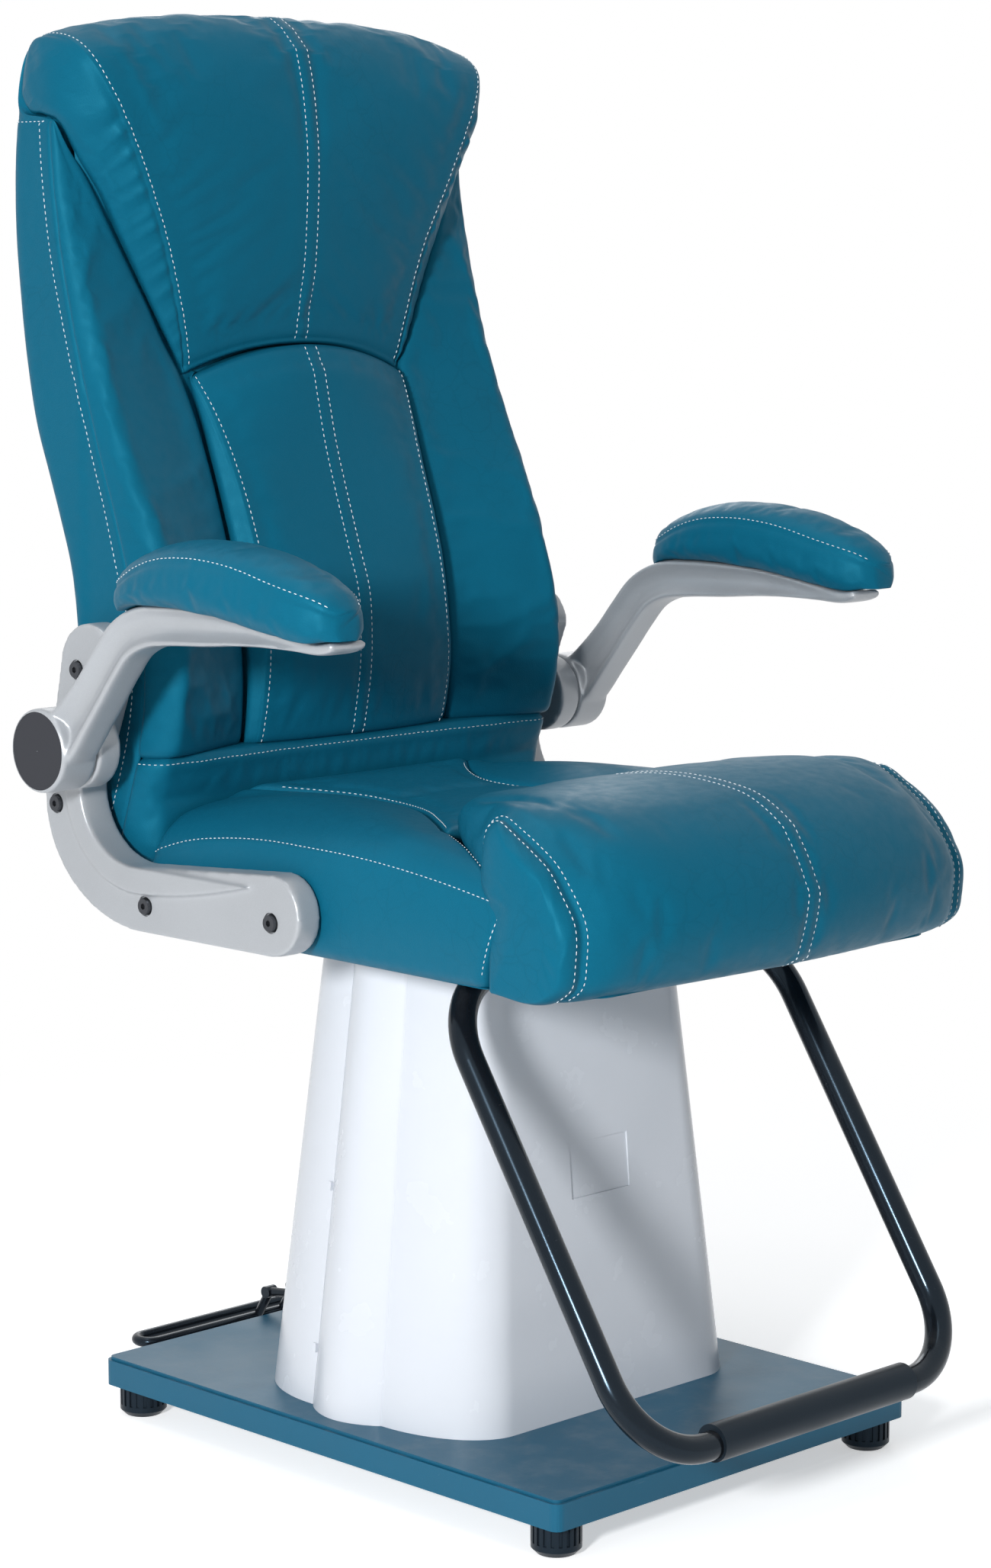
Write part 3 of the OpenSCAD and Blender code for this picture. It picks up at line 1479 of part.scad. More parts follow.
base_plate();
foot_at(-1, -1);  // foot_front_left
foot_at(1, -1);  // foot_front_right
foot_at(-1, 1);  // foot_rear_left
foot_at(1, 1);  // foot_rear_right
stud_at(-1, -1);  // stud_front_left
stud_at(1, -1);  // stud_front_right
stud_at(-1, 1);  // stud_rear_left
stud_at(1, 1);  // stud_rear_right
front_cover();
rear_cover();
cover_clips();
guide_tube();
flange_bolts();
guide_bushes();
hydraulic_cylinder();
pump_body();
feed_pipe();
pump_plunger();
pedal_bracket();
pedal_pin();
pedal_lever();
pedal_bar();
raised() mast_tube();
raised() piston_rod();
raised() inner_cover();
raised() mast_head();
raised() seat_plate();
raised() swivel_spindle();
raised() spindle_nut();
raised() seat_plate_bolts();
raised() seat_board();
raised() seat_rails();
raised() seat_insert();
raised() thigh_pad_left();
raised() thigh_pad_right();
raised() seat_bolster();
raised() back_board();
raised() back_rails();
raised() back_shell();
raised() lower_band();
raised() lumbar_pad();
raised() wing_left();
raised() wing_right();
raised() headrest();
raised() bracket_left();
raised() bracket_right();
raised() bracket_bolts();
raised() hub_pins();
raised() arm_left();
raised() arm_right();
raised() hub_cap_left();
raised() hub_cap_right();
raised() arm_pad_left();
raised() arm_pad_right();
raised() footrest_frame();
raised() footrest_sleeve();
raised() footrest_clamps();
raised() clamp_bolts();
raised() footrest_caps();
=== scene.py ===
import json
import math
import bpy
import bmesh
import numpy as np
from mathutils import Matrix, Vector


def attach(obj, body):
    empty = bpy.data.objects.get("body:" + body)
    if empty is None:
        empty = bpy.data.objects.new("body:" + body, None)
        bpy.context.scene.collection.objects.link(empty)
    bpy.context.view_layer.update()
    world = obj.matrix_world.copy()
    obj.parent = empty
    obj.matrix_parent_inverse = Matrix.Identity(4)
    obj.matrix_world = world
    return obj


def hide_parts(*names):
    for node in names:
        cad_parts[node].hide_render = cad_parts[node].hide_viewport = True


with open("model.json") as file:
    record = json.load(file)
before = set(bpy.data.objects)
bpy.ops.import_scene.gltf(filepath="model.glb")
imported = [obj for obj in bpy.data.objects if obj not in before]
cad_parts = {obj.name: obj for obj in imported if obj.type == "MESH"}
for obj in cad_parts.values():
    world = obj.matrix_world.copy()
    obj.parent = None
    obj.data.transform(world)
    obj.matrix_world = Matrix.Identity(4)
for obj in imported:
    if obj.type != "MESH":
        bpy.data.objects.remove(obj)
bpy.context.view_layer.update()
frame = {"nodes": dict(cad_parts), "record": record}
nodes = frame["nodes"]
mm = 0.001


# camera, room and light

cameraView = {
    "place": (-2.4190, -2.4351, 1.0952),  # metres
    "turn": -44.75,                       # degrees round Z
    "down": 8.06,                         # degrees below level
    "lens": 87.10,
}

room = {
    "worldLight": 0.29,                   # strength for everything but the camera
    "worldTint": (0.90, 0.95, 1.0),
    "aim": (0, 0, 0.65),                  # the lamps point here
    "keyPlace": (-3.7, -1.8, 1.6),
    "keySize": 0.55,
    "keyPower": 165.0,
    "topPlace": (-0.4, 0.2, 4.2),
    "topSize": 2.4,
    "topPower": 34.0,
    "rimPlace": (2.4, 2.6, 2.0),
    "rimSize": 1.4,
    "rimPower": 12.0,
}


def makeCamera(view):
    data = bpy.data.cameras.new("camera")
    data.sensor_fit = "AUTO"
    data.sensor_width = 36
    data.lens = view["lens"]
    data.clip_end = 100
    camera = bpy.data.objects.new("camera", data)
    camera.location = view["place"]
    camera.rotation_euler = (math.radians(90 - view["down"]), 0, math.radians(view["turn"]))
    bpy.context.scene.collection.objects.link(camera)
    bpy.context.scene.camera = camera


def addLamp(name, place, size, power):
    data = bpy.data.lights.new(name, "AREA")
    data.shape = "DISK"
    data.size = size
    data.energy = power
    lamp = bpy.data.objects.new(name, data)
    lamp.location = place
    lamp.rotation_euler = (Vector(room["aim"]) - Vector(place)).to_track_quat("-Z", "Y").to_euler()
    bpy.context.scene.collection.objects.link(lamp)


def put(tree, kind, **values):
    node = tree.nodes.new(kind)
    for key, value in values.items():
        setattr(node, key, value)
    return node


def wire(tree, *pairs):
    for source, target in pairs:
        tree.links.new(source, target)


# a node's input takes another node's output or a fixed value
def feed(tree, socket, value):
    if hasattr(value, "links"):
        tree.links.new(value, socket)
    else:
        socket.default_value = (*value, 1) if socket.type == "RGBA" else value


# new node with its inputs fed, as the output that the next one takes
def fed(tree, kind, inputs, output=0, **values):
    node = put(tree, "ShaderNode" + kind, **values)
    for label, value in inputs.items():
        if value is not None:
            feed(tree, node.inputs[label], value)
    return node.outputs[output]


def noise(tree, place, scale, detail=2.0, rough=0.5, warp=0.0, output=0):
    return fed(tree, "TexNoise", {"Vector": place, "Scale": scale, "Detail": detail,
                                  "Roughness": rough, "Distortion": warp}, output)


def maths(tree, operation, a, b=None, c=None, clamp=False):
    return fed(tree, "Math", {0: a, 1: b, 2: c}, operation=operation, use_clamp=clamp)


def ranged(tree, value, low, high, to0, to1, smooth=True):
    return fed(tree, "MapRange", {"Value": value, "From Min": low, "From Max": high,
                                  "To Min": to0, "To Max": to1},
               interpolation_type="SMOOTHSTEP" if smooth else "LINEAR")


# rays that show the backdrop itself
def directRays(tree):
    path = put(tree, "ShaderNodeLightPath").outputs
    both = maths(tree, "MAXIMUM", path["Is Camera Ray"], path["Is Glossy Ray"])
    return maths(tree, "MAXIMUM", both, path["Is Transmission Ray"])


def makeWorld(values):
    world = bpy.data.worlds.new("studio")
    bpy.context.scene.world = world
    world.use_nodes = True
    tree = world.node_tree
    tree.nodes.clear()
    lit = fed(tree, "Background", {"Color": values["worldTint"], "Strength": values["worldLight"]})
    seen = fed(tree, "Background", {"Color": (1, 1, 1), "Strength": 1.0})
    mixed = fed(tree, "MixShader", {0: directRays(tree), 1: lit, 2: seen})
    wire(tree, (mixed, put(tree, "ShaderNodeOutputWorld").inputs["Surface"]))


floorLook = {
    "rings": (1.2, 3.0, 60.0),            # metres
    "around": 48,
    "tone": (0.95, 0.97),
    "glow": 0.5,                          # own light of the floor where it is seen directly
    "fade": (0.45, 1.7),                  # metres from the axis, over which it turns white
}


def makeFloor(values):
    around, rings = values["around"], values["rings"]
    angles = np.linspace(0, 2 * math.pi, around, endpoint=False)
    points = [(0, 0, 0)] + [(r * math.cos(a), r * math.sin(a), 0) for r in rings for a in angles]
    faces = [(0, 1 + k, 1 + (k + 1) % around) for k in range(around)]
    for n in range(len(rings) - 1):
        a, b = 1 + n * around, 1 + (n + 1) * around
        faces += [(a + k, b + k, b + (k + 1) % around, a + (k + 1) % around)
                  for k in range(around)]
    mesh = bpy.data.meshes.new("floor")
    mesh.from_pydata(points, [], faces)
    floor = bpy.data.objects.new("floor", mesh)
    bpy.context.scene.collection.objects.link(floor)
    material = bpy.data.materials.new("paleFloor")
    material.use_nodes = True
    tree = material.node_tree
    place = put(tree, "ShaderNodeTexCoord").outputs["Object"]
    seen = directRays(tree)
    skin = tree.nodes["Principled BSDF"]
    look = {"Base Color": ranged(tree, noise(tree, place, 3.0), 0.0, 1.0, *values["tone"], False),
            "Roughness": 0.75, "Specular IOR Level": 0.2, "Emission Color": (1, 1, 1),
            "Emission Strength": maths(tree, "MULTIPLY", seen, values["glow"])}
    for label, value in look.items():
        feed(tree, skin.inputs[label], value)
    away = fed(tree, "VectorMath", {0: place}, "Value", operation="LENGTH")
    fade = ranged(tree, away, *values["fade"], 0.0, 1.0)
    mixed = fed(tree, "MixShader", {0: maths(tree, "MULTIPLY", seen, fade), 1: skin.outputs[0],
                                    2: put(tree, "ShaderNodeEmission").outputs[0]})
    wire(tree, (mixed, tree.nodes["Material Output"].inputs["Surface"]))
    mesh.materials.append(material)


makeCamera(cameraView)
makeWorld(room)
makeFloor(floorLook)
for lamp in ("key", "top", "rim"):
    addLamp(lamp + "Lamp", room[lamp + "Place"], room[lamp + "Size"], room[lamp + "Power"])
bpy.context.scene.view_settings.view_transform = "Standard"
print("camera, floor and lamps are in place")


# shared material effects

def newGroup(name, inputs):
    group = bpy.data.node_groups.new(name, "ShaderNodeTree")
    for label, value in inputs.items():
        kind = "NodeSocketColor" if isinstance(value, tuple) else "NodeSocketFloat"
        socket = group.interface.new_socket(label, in_out="INPUT", socket_type=kind)
        socket.default_value = (*value, 1) if isinstance(value, tuple) else value
    for label, kind in (("Colour", "Color"), ("Height", "Float"), ("Roughness", "Float")):
        group.interface.new_socket(label, in_out="OUTPUT", socket_type="NodeSocket" + kind)
    place = put(group, "ShaderNodeTexCoord").outputs["Object"]
    return group, put(group, "NodeGroupInput").outputs, put(group, "NodeGroupOutput").inputs, place


def giveOut(group, out, colour, height, rough):
    wire(group, (colour, out["Colour"]), (height, out["Height"]), (rough, out["Roughness"]))
    return group


def cells(group, place, scale, feature="F1"):
    return fed(group, "TexVoronoi", {"Vector": place, "Scale": scale}, "Distance",
               feature=feature)


def stretched(group, place, factors):
    return fed(group, "VectorMath", {0: place, 1: factors}, operation="MULTIPLY")


# places pushed about by a noise
def pushed(group, place, scale, detail, reach):
    push = fed(group, "VectorMath", {0: noise(group, place, scale, detail, output="Color"),
                                     "Scale": reach}, operation="SCALE")
    return fed(group, "VectorMath", {0: place, 1: push}, operation="ADD")


def blendColour(group, factor, a, b):
    return fed(group, "Mix", {0: factor, 6: a, 7: b}, 2, data_type="RGBA")


def shaded(group, colour, value):
    return fed(group, "HueSaturation", {"Color": colour, "Value": value})


# fine pebbled grain, hairline creases kept to patches and a slow change of tone; painted shade
# darkens the grain's hollows and the creases in the colour
def leatherGroup():
    group, given, out, place = newGroup("leatherSkin",
        {"Colour": (0.1, 0.1, 0.1), "Pebble size": 1.1, "Pebble depth": 1.0,
         "Crease depth": 1.0, "Tone change": 0.06})
    density = maths(group, "DIVIDE", 1000.0, given["Pebble size"])
    pebble = cells(group, pushed(group, place, 260.0, 2.0, 0.0016), density)
    pits = ranged(group, pebble, 0.15, 0.75, 1.0, 0.0)
    crease = cells(group, pushed(group, place, 18.0, 3.0, 0.045), 46.0, "DISTANCE_TO_EDGE")
    patch = ranged(group, noise(group, place, 7.0), 0.5, 0.68, 0.0, 1.0)
    cut = maths(group, "MULTIPLY", ranged(group, crease, 0.0, 0.07, 1.0, 0.0), patch)
    deep = maths(group, "MULTIPLY", cut, maths(group, "MULTIPLY", given["Crease depth"], 0.9))
    height = maths(group, "MULTIPLY", pits, given["Pebble depth"])
    height = maths(group, "SUBTRACT", height, deep)
    soft = maths(group, "MULTIPLY", noise(group, place, 34.0, 3.0, 0.55), 2.2)
    height = maths(group, "ADD", height, soft)
    tone = ranged(group, noise(group, place, 5.5, 3.0), 0.25, 0.75,
                  maths(group, "SUBTRACT", 1.0, given["Tone change"]),
                  maths(group, "ADD", 1.0, given["Tone change"]), smooth=False)
    # painted shade: the colour is darker in the hollows between the pebbles and in the creases, and
    # a touch lighter on the pebble tops
    for mask, low, high in ((pits, 0.955, 1.01), (cut, 1.0, 0.93)):
        tone = maths(group, "MULTIPLY", tone, ranged(group, mask, 0.0, 1.0, low, high, False))
    rough = ranged(group, noise(group, place, 90.0), 0.3, 0.7, 0.43, 0.52, smooth=False)
    return giveOut(group, out, shaded(group, given["Colour"], tone), height, rough)


# sprayed paint: orange peel, fine fleck with painted sparkle, dust that settles on what faces up,
# scuffs
def paintGroup():
    group, given, out, place = newGroup("sprayedPaint",
        {"Colour": (0.1, 0.1, 0.1), "Fleck sparkle": 0.0, "Dust": 0.3, "Scuffs": 0.4,
         "Gloss low": 0.3, "Gloss high": 0.4, "Peel": 1.0})
    peel = maths(group, "MULTIPLY", noise(group, place, 420.0, 1.0), given["Peel"])
    slow = noise(group, place, 9.0, 3.0)
    # fleck: tiny specks made lighter and darker in the colour, a painted sparkle standing in for
    # the glint of the paint's flakes
    spark = ranged(group, cells(group, place, 1900.0), 0.1, 0.5, 1.0, -1.0)
    fleckSparkle = maths(group, "MULTIPLY", spark, given["Fleck sparkle"])
    normal = put(group, "ShaderNodeNewGeometry").outputs["Normal"]
    up = fed(group, "SeparateXYZ", {0: normal}, "Z")
    grime = ranged(group, noise(group, place, 26.0, 5.0, 0.62), 0.42, 0.74, 0.0, 1.0)
    settled = maths(group, "MULTIPLY", ranged(group, up, 0.55, 1.0, 0.0, 1.0), grime)
    dust = maths(group, "MULTIPLY", settled, given["Dust"])
    long = stretched(group, place, (3, 60, 60))
    scratch = ranged(group, noise(group, long, 6.0, 4.0, 0.7, 0.4), 0.66, 0.74, 0.0, 1.0)
    scuff = maths(group, "MULTIPLY", scratch, given["Scuffs"])
    shade = maths(group, "ADD", ranged(group, slow, 0.3, 0.7, 0.965, 1.035, smooth=False), fleckSparkle)
    colour = shaded(group, given["Colour"], shade)
    colour = blendColour(group, maths(group, "MULTIPLY", scuff, 0.22), colour, (0.45, 0.47, 0.5))
    colour = blendColour(group, maths(group, "MULTIPLY", dust, 0.3), colour, (0.42, 0.43, 0.44))
    rough = ranged(group, slow, 0.3, 0.7, given["Gloss low"], given["Gloss high"], smooth=False)
    worn = maths(group, "MULTIPLY", maths(group, "ADD", dust, scuff), 0.12)
    return giveOut(group, out, colour, peel, maths(group, "ADD", rough, worn))


# machined or rolled metal: fine lines round the piece, and stains
def machinedGroup():
    group, given, out, place = newGroup("machinedMetal",
        {"Colour": (0.5, 0.5, 0.5), "Line size": 0.25, "Stains": 0.4, "Gloss": 0.3})
    density = maths(group, "DIVIDE", 1000.0, given["Line size"])
    lines = noise(group, stretched(group, place, (0.04, 0.04, 1)), density, 2.0, 0.6)
    stain = ranged(group, noise(group, place, 24.0, 5.0, 0.6), 0.45, 0.72, 0.0, 1.0)
    mark = maths(group, "MULTIPLY", stain, given["Stains"])
    shade = maths(group, "SUBTRACT", ranged(group, lines, 0.3, 0.7, 0.94, 1.06, smooth=False),
                  maths(group, "MULTIPLY", mark, 0.3))
    gloss = maths(group, "ADD", given["Gloss"], maths(group, "MULTIPLY", lines, 0.08))
    rough = maths(group, "ADD", maths(group, "MULTIPLY", mark, 0.25), gloss)
    return giveOut(group, out, shaded(group, given["Colour"], shade), lines, rough)


# moulded rubber or plastic: a fine spark texture with slow shine marks
def mouldedGroup():
    group, given, out, place = newGroup("mouldedSkin",
        {"Colour": (0.1, 0.1, 0.1), "Grain size": 0.5, "Gloss low": 0.35, "Gloss high": 0.5,
         "Tone change": 1.0})
    density = maths(group, "DIVIDE", 1000.0, given["Grain size"])
    grain = noise(group, place, density, 2.0, 0.6)
    slow = noise(group, place, 17.0, 4.0, 0.55)
    patches = maths(group, "ADD", ranged(group, slow, 0.3, 0.7, -0.06, 0.06, smooth=False),
                    ranged(group, grain, 0.2, 0.8, -0.04, 0.04, smooth=False))
    shade = maths(group, "MULTIPLY_ADD", patches, given["Tone change"], 1.0)
    rough = ranged(group, slow, 0.3, 0.7, given["Gloss low"], given["Gloss high"], smooth=False)
    return giveOut(group, out, shaded(group, given["Colour"], shade), grain, rough)


# plies seen from the side and long figure on the faces
def plywoodGroup():
    group, given, out, place = newGroup("plywoodFigure",
        {"Light wood": (0.6, 0.42, 0.25), "Dark wood": (0.4, 0.25, 0.13), "Ply size": 1.5})
    figure = noise(group, stretched(group, place, (14, 1.2, 14)), 3.0, 5.0, 0.6, 0.8)
    up = maths(group, "MULTIPLY", fed(group, "SeparateXYZ", {0: place}, "Z"), 1000 * math.pi)
    plies = maths(group, "SINE", maths(group, "DIVIDE", up, given["Ply size"]))
    factor = maths(group, "ADD", ranged(group, figure, 0.35, 0.65, 0.0, 0.7, smooth=False),
                   maths(group, "MULTIPLY", plies, 0.15), clamp=True)
    colour = blendColour(group, factor, given["Light wood"], given["Dark wood"])
    rough = ranged(group, figure, 0.3, 0.7, 0.55, 0.7, smooth=False)
    return giveOut(group, out, colour, figure, rough)


groups = {"leather": leatherGroup(), "paint": paintGroup(), "machined": machinedGroup(),
          "moulded": mouldedGroup(), "plywood": plywoodGroup()}


# one finish: a shared effect with this finish's own values, and the shader's fixed values
def makeFinish(name, effect, given, bump, size, shader):
    material = bpy.data.materials.new(name)
    material.use_nodes = True
    tree = material.node_tree
    skin = tree.nodes["Principled BSDF"]
    group = put(tree, "ShaderNodeGroup", node_tree=groups[effect])
    for node, values in ((skin, shader), (group, given)):
        for label, value in values.items():
            feed(tree, node.inputs[label], value)
    normal = fed(tree, "Bump", {"Strength": bump, "Distance": size,
                                "Height": group.outputs["Height"]})
    wire(tree, (group.outputs["Colour"], skin.inputs["Base Color"]),
         (group.outputs["Roughness"], skin.inputs["Roughness"]),
         (normal, skin.inputs["Normal"]))
    return material


teal = (0.0036, 0.102, 0.174)
finishes = {
    "teal_leatherette": makeFinish("tealLeatherette", "leather",
        {"Colour": teal, "Pebble size": 1.1, "Pebble depth": 0.8, "Crease depth": 0.8,
         "Tone change": 0.05}, 0.35, 0.00016,
        {"Specular IOR Level": 0.24, "Specular Tint": (0.12, 0.75, 1.0)}),
    "base_paint": makeFinish("basePaint", "paint",
        {"Colour": (0.006, 0.095, 0.17), "Fleck sparkle": 0.05, "Dust": 0.5, "Scuffs": 0.5,
         "Gloss low": 0.36, "Gloss high": 0.46}, 0.25, 0.0001,
        {"Specular IOR Level": 0.4, "Specular Tint": (0.5, 0.8, 1.0)}),
    "white_shell": makeFinish("whiteShell", "moulded",
        {"Colour": (0.63, 0.66, 0.71), "Grain size": 2.4, "Gloss low": 0.25, "Gloss high": 0.28,
         "Tone change": 0.1},
        0.015, 0.0001, {"Specular IOR Level": 0.3, "Coat Weight": 0.15, "Coat Roughness": 0.12}),
    "silver_paint": makeFinish("silverPaint", "paint",
        {"Colour": (0.41, 0.43, 0.455), "Fleck sparkle": 0.06, "Dust": 0.25, "Scuffs": 0.25,
         "Gloss low": 0.34, "Gloss high": 0.42, "Peel": 0.8}, 0.2, 0.0001,
        {"Metallic": 0.3, "Coat Weight": 0.1, "Coat Roughness": 0.2}),
    "black_paint": makeFinish("blackPaint", "paint",
        {"Colour": (0.006, 0.007, 0.009), "Fleck sparkle": 0.0, "Dust": 0.25, "Scuffs": 0.3,
         "Gloss low": 0.14, "Gloss high": 0.22}, 0.12, 0.0001,
        {"Specular IOR Level": 0.3, "Specular Tint": (0.5, 0.75, 1.0)}),
    "black_rubber": makeFinish("blackRubber", "moulded",
        {"Colour": (0.008, 0.012, 0.017), "Grain size": 0.8, "Gloss low": 0.3, "Gloss high": 0.42},
        0.25, 0.0002, {"Specular IOR Level": 0.22, "Specular Tint": (0.5, 0.75, 1.0)}),
    "dark_plastic": makeFinish("darkPlastic", "moulded",
        {"Colour": (0.024, 0.026, 0.033), "Grain size": 0.45, "Gloss low": 0.36,
         "Gloss high": 0.46},
        0.2, 0.00012, {"Specular IOR Level": 0.3}),
    "steel": makeFinish("machinedSteel", "machined",
        {"Colour": (0.45, 0.46, 0.48), "Line size": 0.3, "Stains": 0.5, "Gloss": 0.3},
        0.15, 0.0001, {"Metallic": 1.0}),
    "dark_steel": makeFinish("darkSteel", "machined",
        {"Colour": (0.07, 0.075, 0.085), "Line size": 0.3, "Stains": 0.3, "Gloss": 0.28},
        0.15, 0.0001, {"Metallic": 0.85}),
    "polished_rod": makeFinish("polishedRod", "machined",
        {"Colour": (0.75, 0.75, 0.77), "Line size": 0.15, "Stains": 0.15, "Gloss": 0.1},
        0.06, 0.00005, {"Metallic": 1.0}),
    "cast_parts": makeFinish("castGrey", "paint",
        {"Colour": (0.16, 0.17, 0.18), "Fleck sparkle": 0.03, "Dust": 0.6, "Scuffs": 0.4,
         "Gloss low": 0.45, "Gloss high": 0.55, "Peel": 2.0}, 0.5, 0.0003, {}),
    "plywood": makeFinish("rawPlywood", "plywood",
        {"Light wood": (0.55, 0.38, 0.2), "Dark wood": (0.36, 0.22, 0.11), "Ply size": 1.5},
        0.2, 0.0002, {}),
    "thread": makeFinish("paleThread", "moulded",
        {"Colour": (0.64, 0.7, 0.74), "Grain size": 0.35, "Gloss low": 0.5, "Gloss high": 0.65},
        0.4, 0.0001, {"Sheen Weight": 0.2}),
}

for row in frame["record"]["subparts"]:
    for place in nodes[row["node"]].material_slots:
        place.material = finishes[row["material_slot"]]
# the seat's cover is wrapped round the edges of its board
for place in nodes["seat_board"].material_slots:
    place.material = finishes["teal_leatherette"]
print("finishes are made")


# shape helpers, in millimetres

# smooth curve through rows of (where, value, ...)
def smoothTable(rows):
    table = np.array(sorted(rows), float)
    at, value = table[:, 0], table[:, 1:]
    step = np.diff(at)
    rate = np.diff(value, axis=0) / step[:, None]
    slope = np.zeros_like(value)
    slope[0], slope[-1] = rate[0], rate[-1]
    share = (step[1:] / (step[1:] + step[:-1]))[:, None]
    slope[1:-1] = rate[:-1] * share + rate[1:] * (1 - share)

    def read(where):
        where = np.clip(np.asarray(where, float), at[0], at[-1])
        k = np.clip(np.searchsorted(at, where, side="right") - 1, 0, len(at) - 2)
        h = step[k][..., None]
        t = ((where - at[k]) / step[k])[..., None]
        found = ((2 * t ** 3 - 3 * t ** 2 + 1) * value[k] + (t ** 3 - 2 * t ** 2 + t) * h * slope[k]
                 + (3 * t ** 2 - 2 * t ** 3) * value[k + 1] + (t ** 3 - t ** 2) * h * slope[k + 1])
        return found[..., 0] if value.shape[1] == 1 else found
    return read


# points at given shares of the length of a dense line
def spread(line, shares):
    line = np.asarray(line, float)
    gone = np.concatenate([[0], np.cumsum(np.linalg.norm(np.diff(line, axis=0), axis=1))])
    return np.stack([np.interp(np.asarray(shares) * gone[-1], gone, line[:, k])
                     for k in range(line.shape[1])], axis=-1)


# even stations with extra ones close to given places
def stations(count, places=(), reach=0.02, extra=5):
    even = np.linspace(0, 1, count)
    close = [p + reach * k / extra for p in places for k in range(-extra, extra + 1)]
    every = np.sort(np.concatenate([even, [c for c in close if 0 <= c <= 1]]))
    kept = [0.0]
    for s in every:
        if s - kept[-1] > 0.35 * reach / extra:
            kept.append(float(s))
    kept[-1] = 1.0
    return np.array(kept)


def edgeDrop(distance, radius, depth):
    t = np.clip(distance / radius, 0, 1)
    return depth * (1 - np.sqrt(np.clip(1 - (1 - t) ** 2, 0, 1)))


def groove(distance, width, depth):
    return depth * np.exp(-(distance / width) ** 2)


def grooves(distance, pairs):
    return sum(groove(distance, *pair) for pair in pairs)


# 0 at a seam, 1 from the given reach on
def near(distance, reach):
    return np.clip(distance / reach, 0, 1)


def multiplied(rule, pairs):
    return math.prod(rule(*pair) for pair in pairs)


def gridNormals(grid):
    n = np.cross(np.gradient(grid, axis=1), np.gradient(grid, axis=0))
    return n / np.maximum(np.linalg.norm(n, axis=2, keepdims=True), 1e-9)


# lengths gone along each row and along each column of a grid, and how far its edges are
def alongRows(grid):
    step = np.linalg.norm(np.diff(grid, axis=1), axis=2)
    return np.concatenate([np.zeros((len(grid), 1)), np.cumsum(step, axis=1)], axis=1)


def alongColumns(grid):
    return alongRows(grid.swapaxes(0, 1)).T


def fromSides(along):
    return np.minimum(along, along[:, -1:] - along)


def fromEnds(up):
    return np.minimum(up, up[-1] - up)


def fromColumns(along, columns):
    return np.min([np.abs(along - along[:, c:c + 1]) for c in columns], axis=0)


# a grid sunk by a depth, away from the side that faces along an axis
def sunk(grid, depth, axis, sign, column=None):
    n = gridNormals(grid)
    rows, columns = grid.shape[:2]
    column = columns // 2 if column is None else column
    out = 1.0 if n[rows // 2, column, axis] * sign > 0 else -1.0
    return grid - n * out * depth[:, :, None]


# smooth line through points at even shares from 0 to 1
def smoothLine(rows):
    return smoothTable([(m, *p) for m, p in zip(np.linspace(0, 1, len(rows)), rows)])


# quarter turn from a front face into a side, at one height
def sideCorner(x0, x1, y0, y1, z, count=23):
    turn = np.radians(np.linspace(0, 90, count + 1))[1:]
    return np.stack([x0 + (x1 - x0) * np.sin(turn), y0 + (y1 - y0) * (1 - np.cos(turn)),
                     np.full(count, z)], -1)


def mirrored(points):
    return points[::-1] * [-1, 1, 1]


def addMesh(name, points, faces, finish, smooth=True, turnOut=True):
    mesh = bpy.data.meshes.new(name)
    mesh.from_pydata((np.asarray(points, float) * mm).tolist(), [], faces)
    if turnOut:
        work = bmesh.new()
        work.from_mesh(mesh)
        bmesh.ops.recalc_face_normals(work, faces=work.faces)
        work.to_mesh(mesh)
        work.free()
    for face in mesh.polygons:
        face.use_smooth = smooth
    mesh.materials.append(finishes[finish])
    piece = bpy.data.objects.new(name, mesh)
    bpy.context.scene.collection.objects.link(piece)
    return piece


def rimNumbers(rows, columns):
    return ([j for j in range(columns - 1)] + [i * columns + columns - 1 for i in range(rows - 1)]
            + [(rows - 1) * columns + j for j in range(columns - 1, 0, -1)]
            + [i * columns for i in range(rows - 1, 0, -1)])


def gridFaces(rows, columns, closed=False):
    faces = []
    for i in range(rows - 1):
        for j in range(columns if closed else columns - 1):
            faces.append((i * columns + j, i * columns + (j + 1) % columns,
                          (i + 1) * columns + (j + 1) % columns, (i + 1) * columns + j))
    return faces


pads = []
sideWords = {-1: ("Left", "_left", "arm_l"), 1: ("Right", "_right", "arm_r")}


# points and faces that fill the last loop with rows and columns of its own
def closeLoop(loop, numbers, rows, columns, count):
    rim = np.zeros((rows, columns, 3))
    known = -np.ones((rows, columns), int)
    flat = rimNumbers(rows, columns)
    rim.reshape(-1, 3)[flat] = loop
    known.reshape(-1)[flat] = numbers
    u, v = np.linspace(0, 1, columns)[None, :, None], np.linspace(0, 1, rows)[:, None, None]
    filled = ((1 - v) * rim[:1] + v * rim[-1:] + (1 - u) * rim[:, :1] + u * rim[:, -1:]
              - (1 - u) * (1 - v) * rim[0, 0] - u * (1 - v) * rim[0, -1]
              - (1 - u) * v * rim[-1, 0] - u * v * rim[-1, -1])
    inside = known < 0
    known[inside] = count + np.arange(inside.sum())
    faces = [(known[i, j], known[i + 1, j], known[i + 1, j + 1], known[i, j + 1])
             for i in range(rows - 1) for j in range(columns - 1)]
    return filled[inside], [tuple(int(n) for n in face) for face in faces]


def keepPad(name, points, faces, shape, free, body, replaced, fill, most):
    piece = addMesh(name, points, faces, "teal_leatherette")
    pads.append({"piece": piece, "rows": shape[0], "columns": shape[1], "free": free,
                 "body": body, "replaced": replaced, "fill": fill, "most": most})
    return pads[-1]


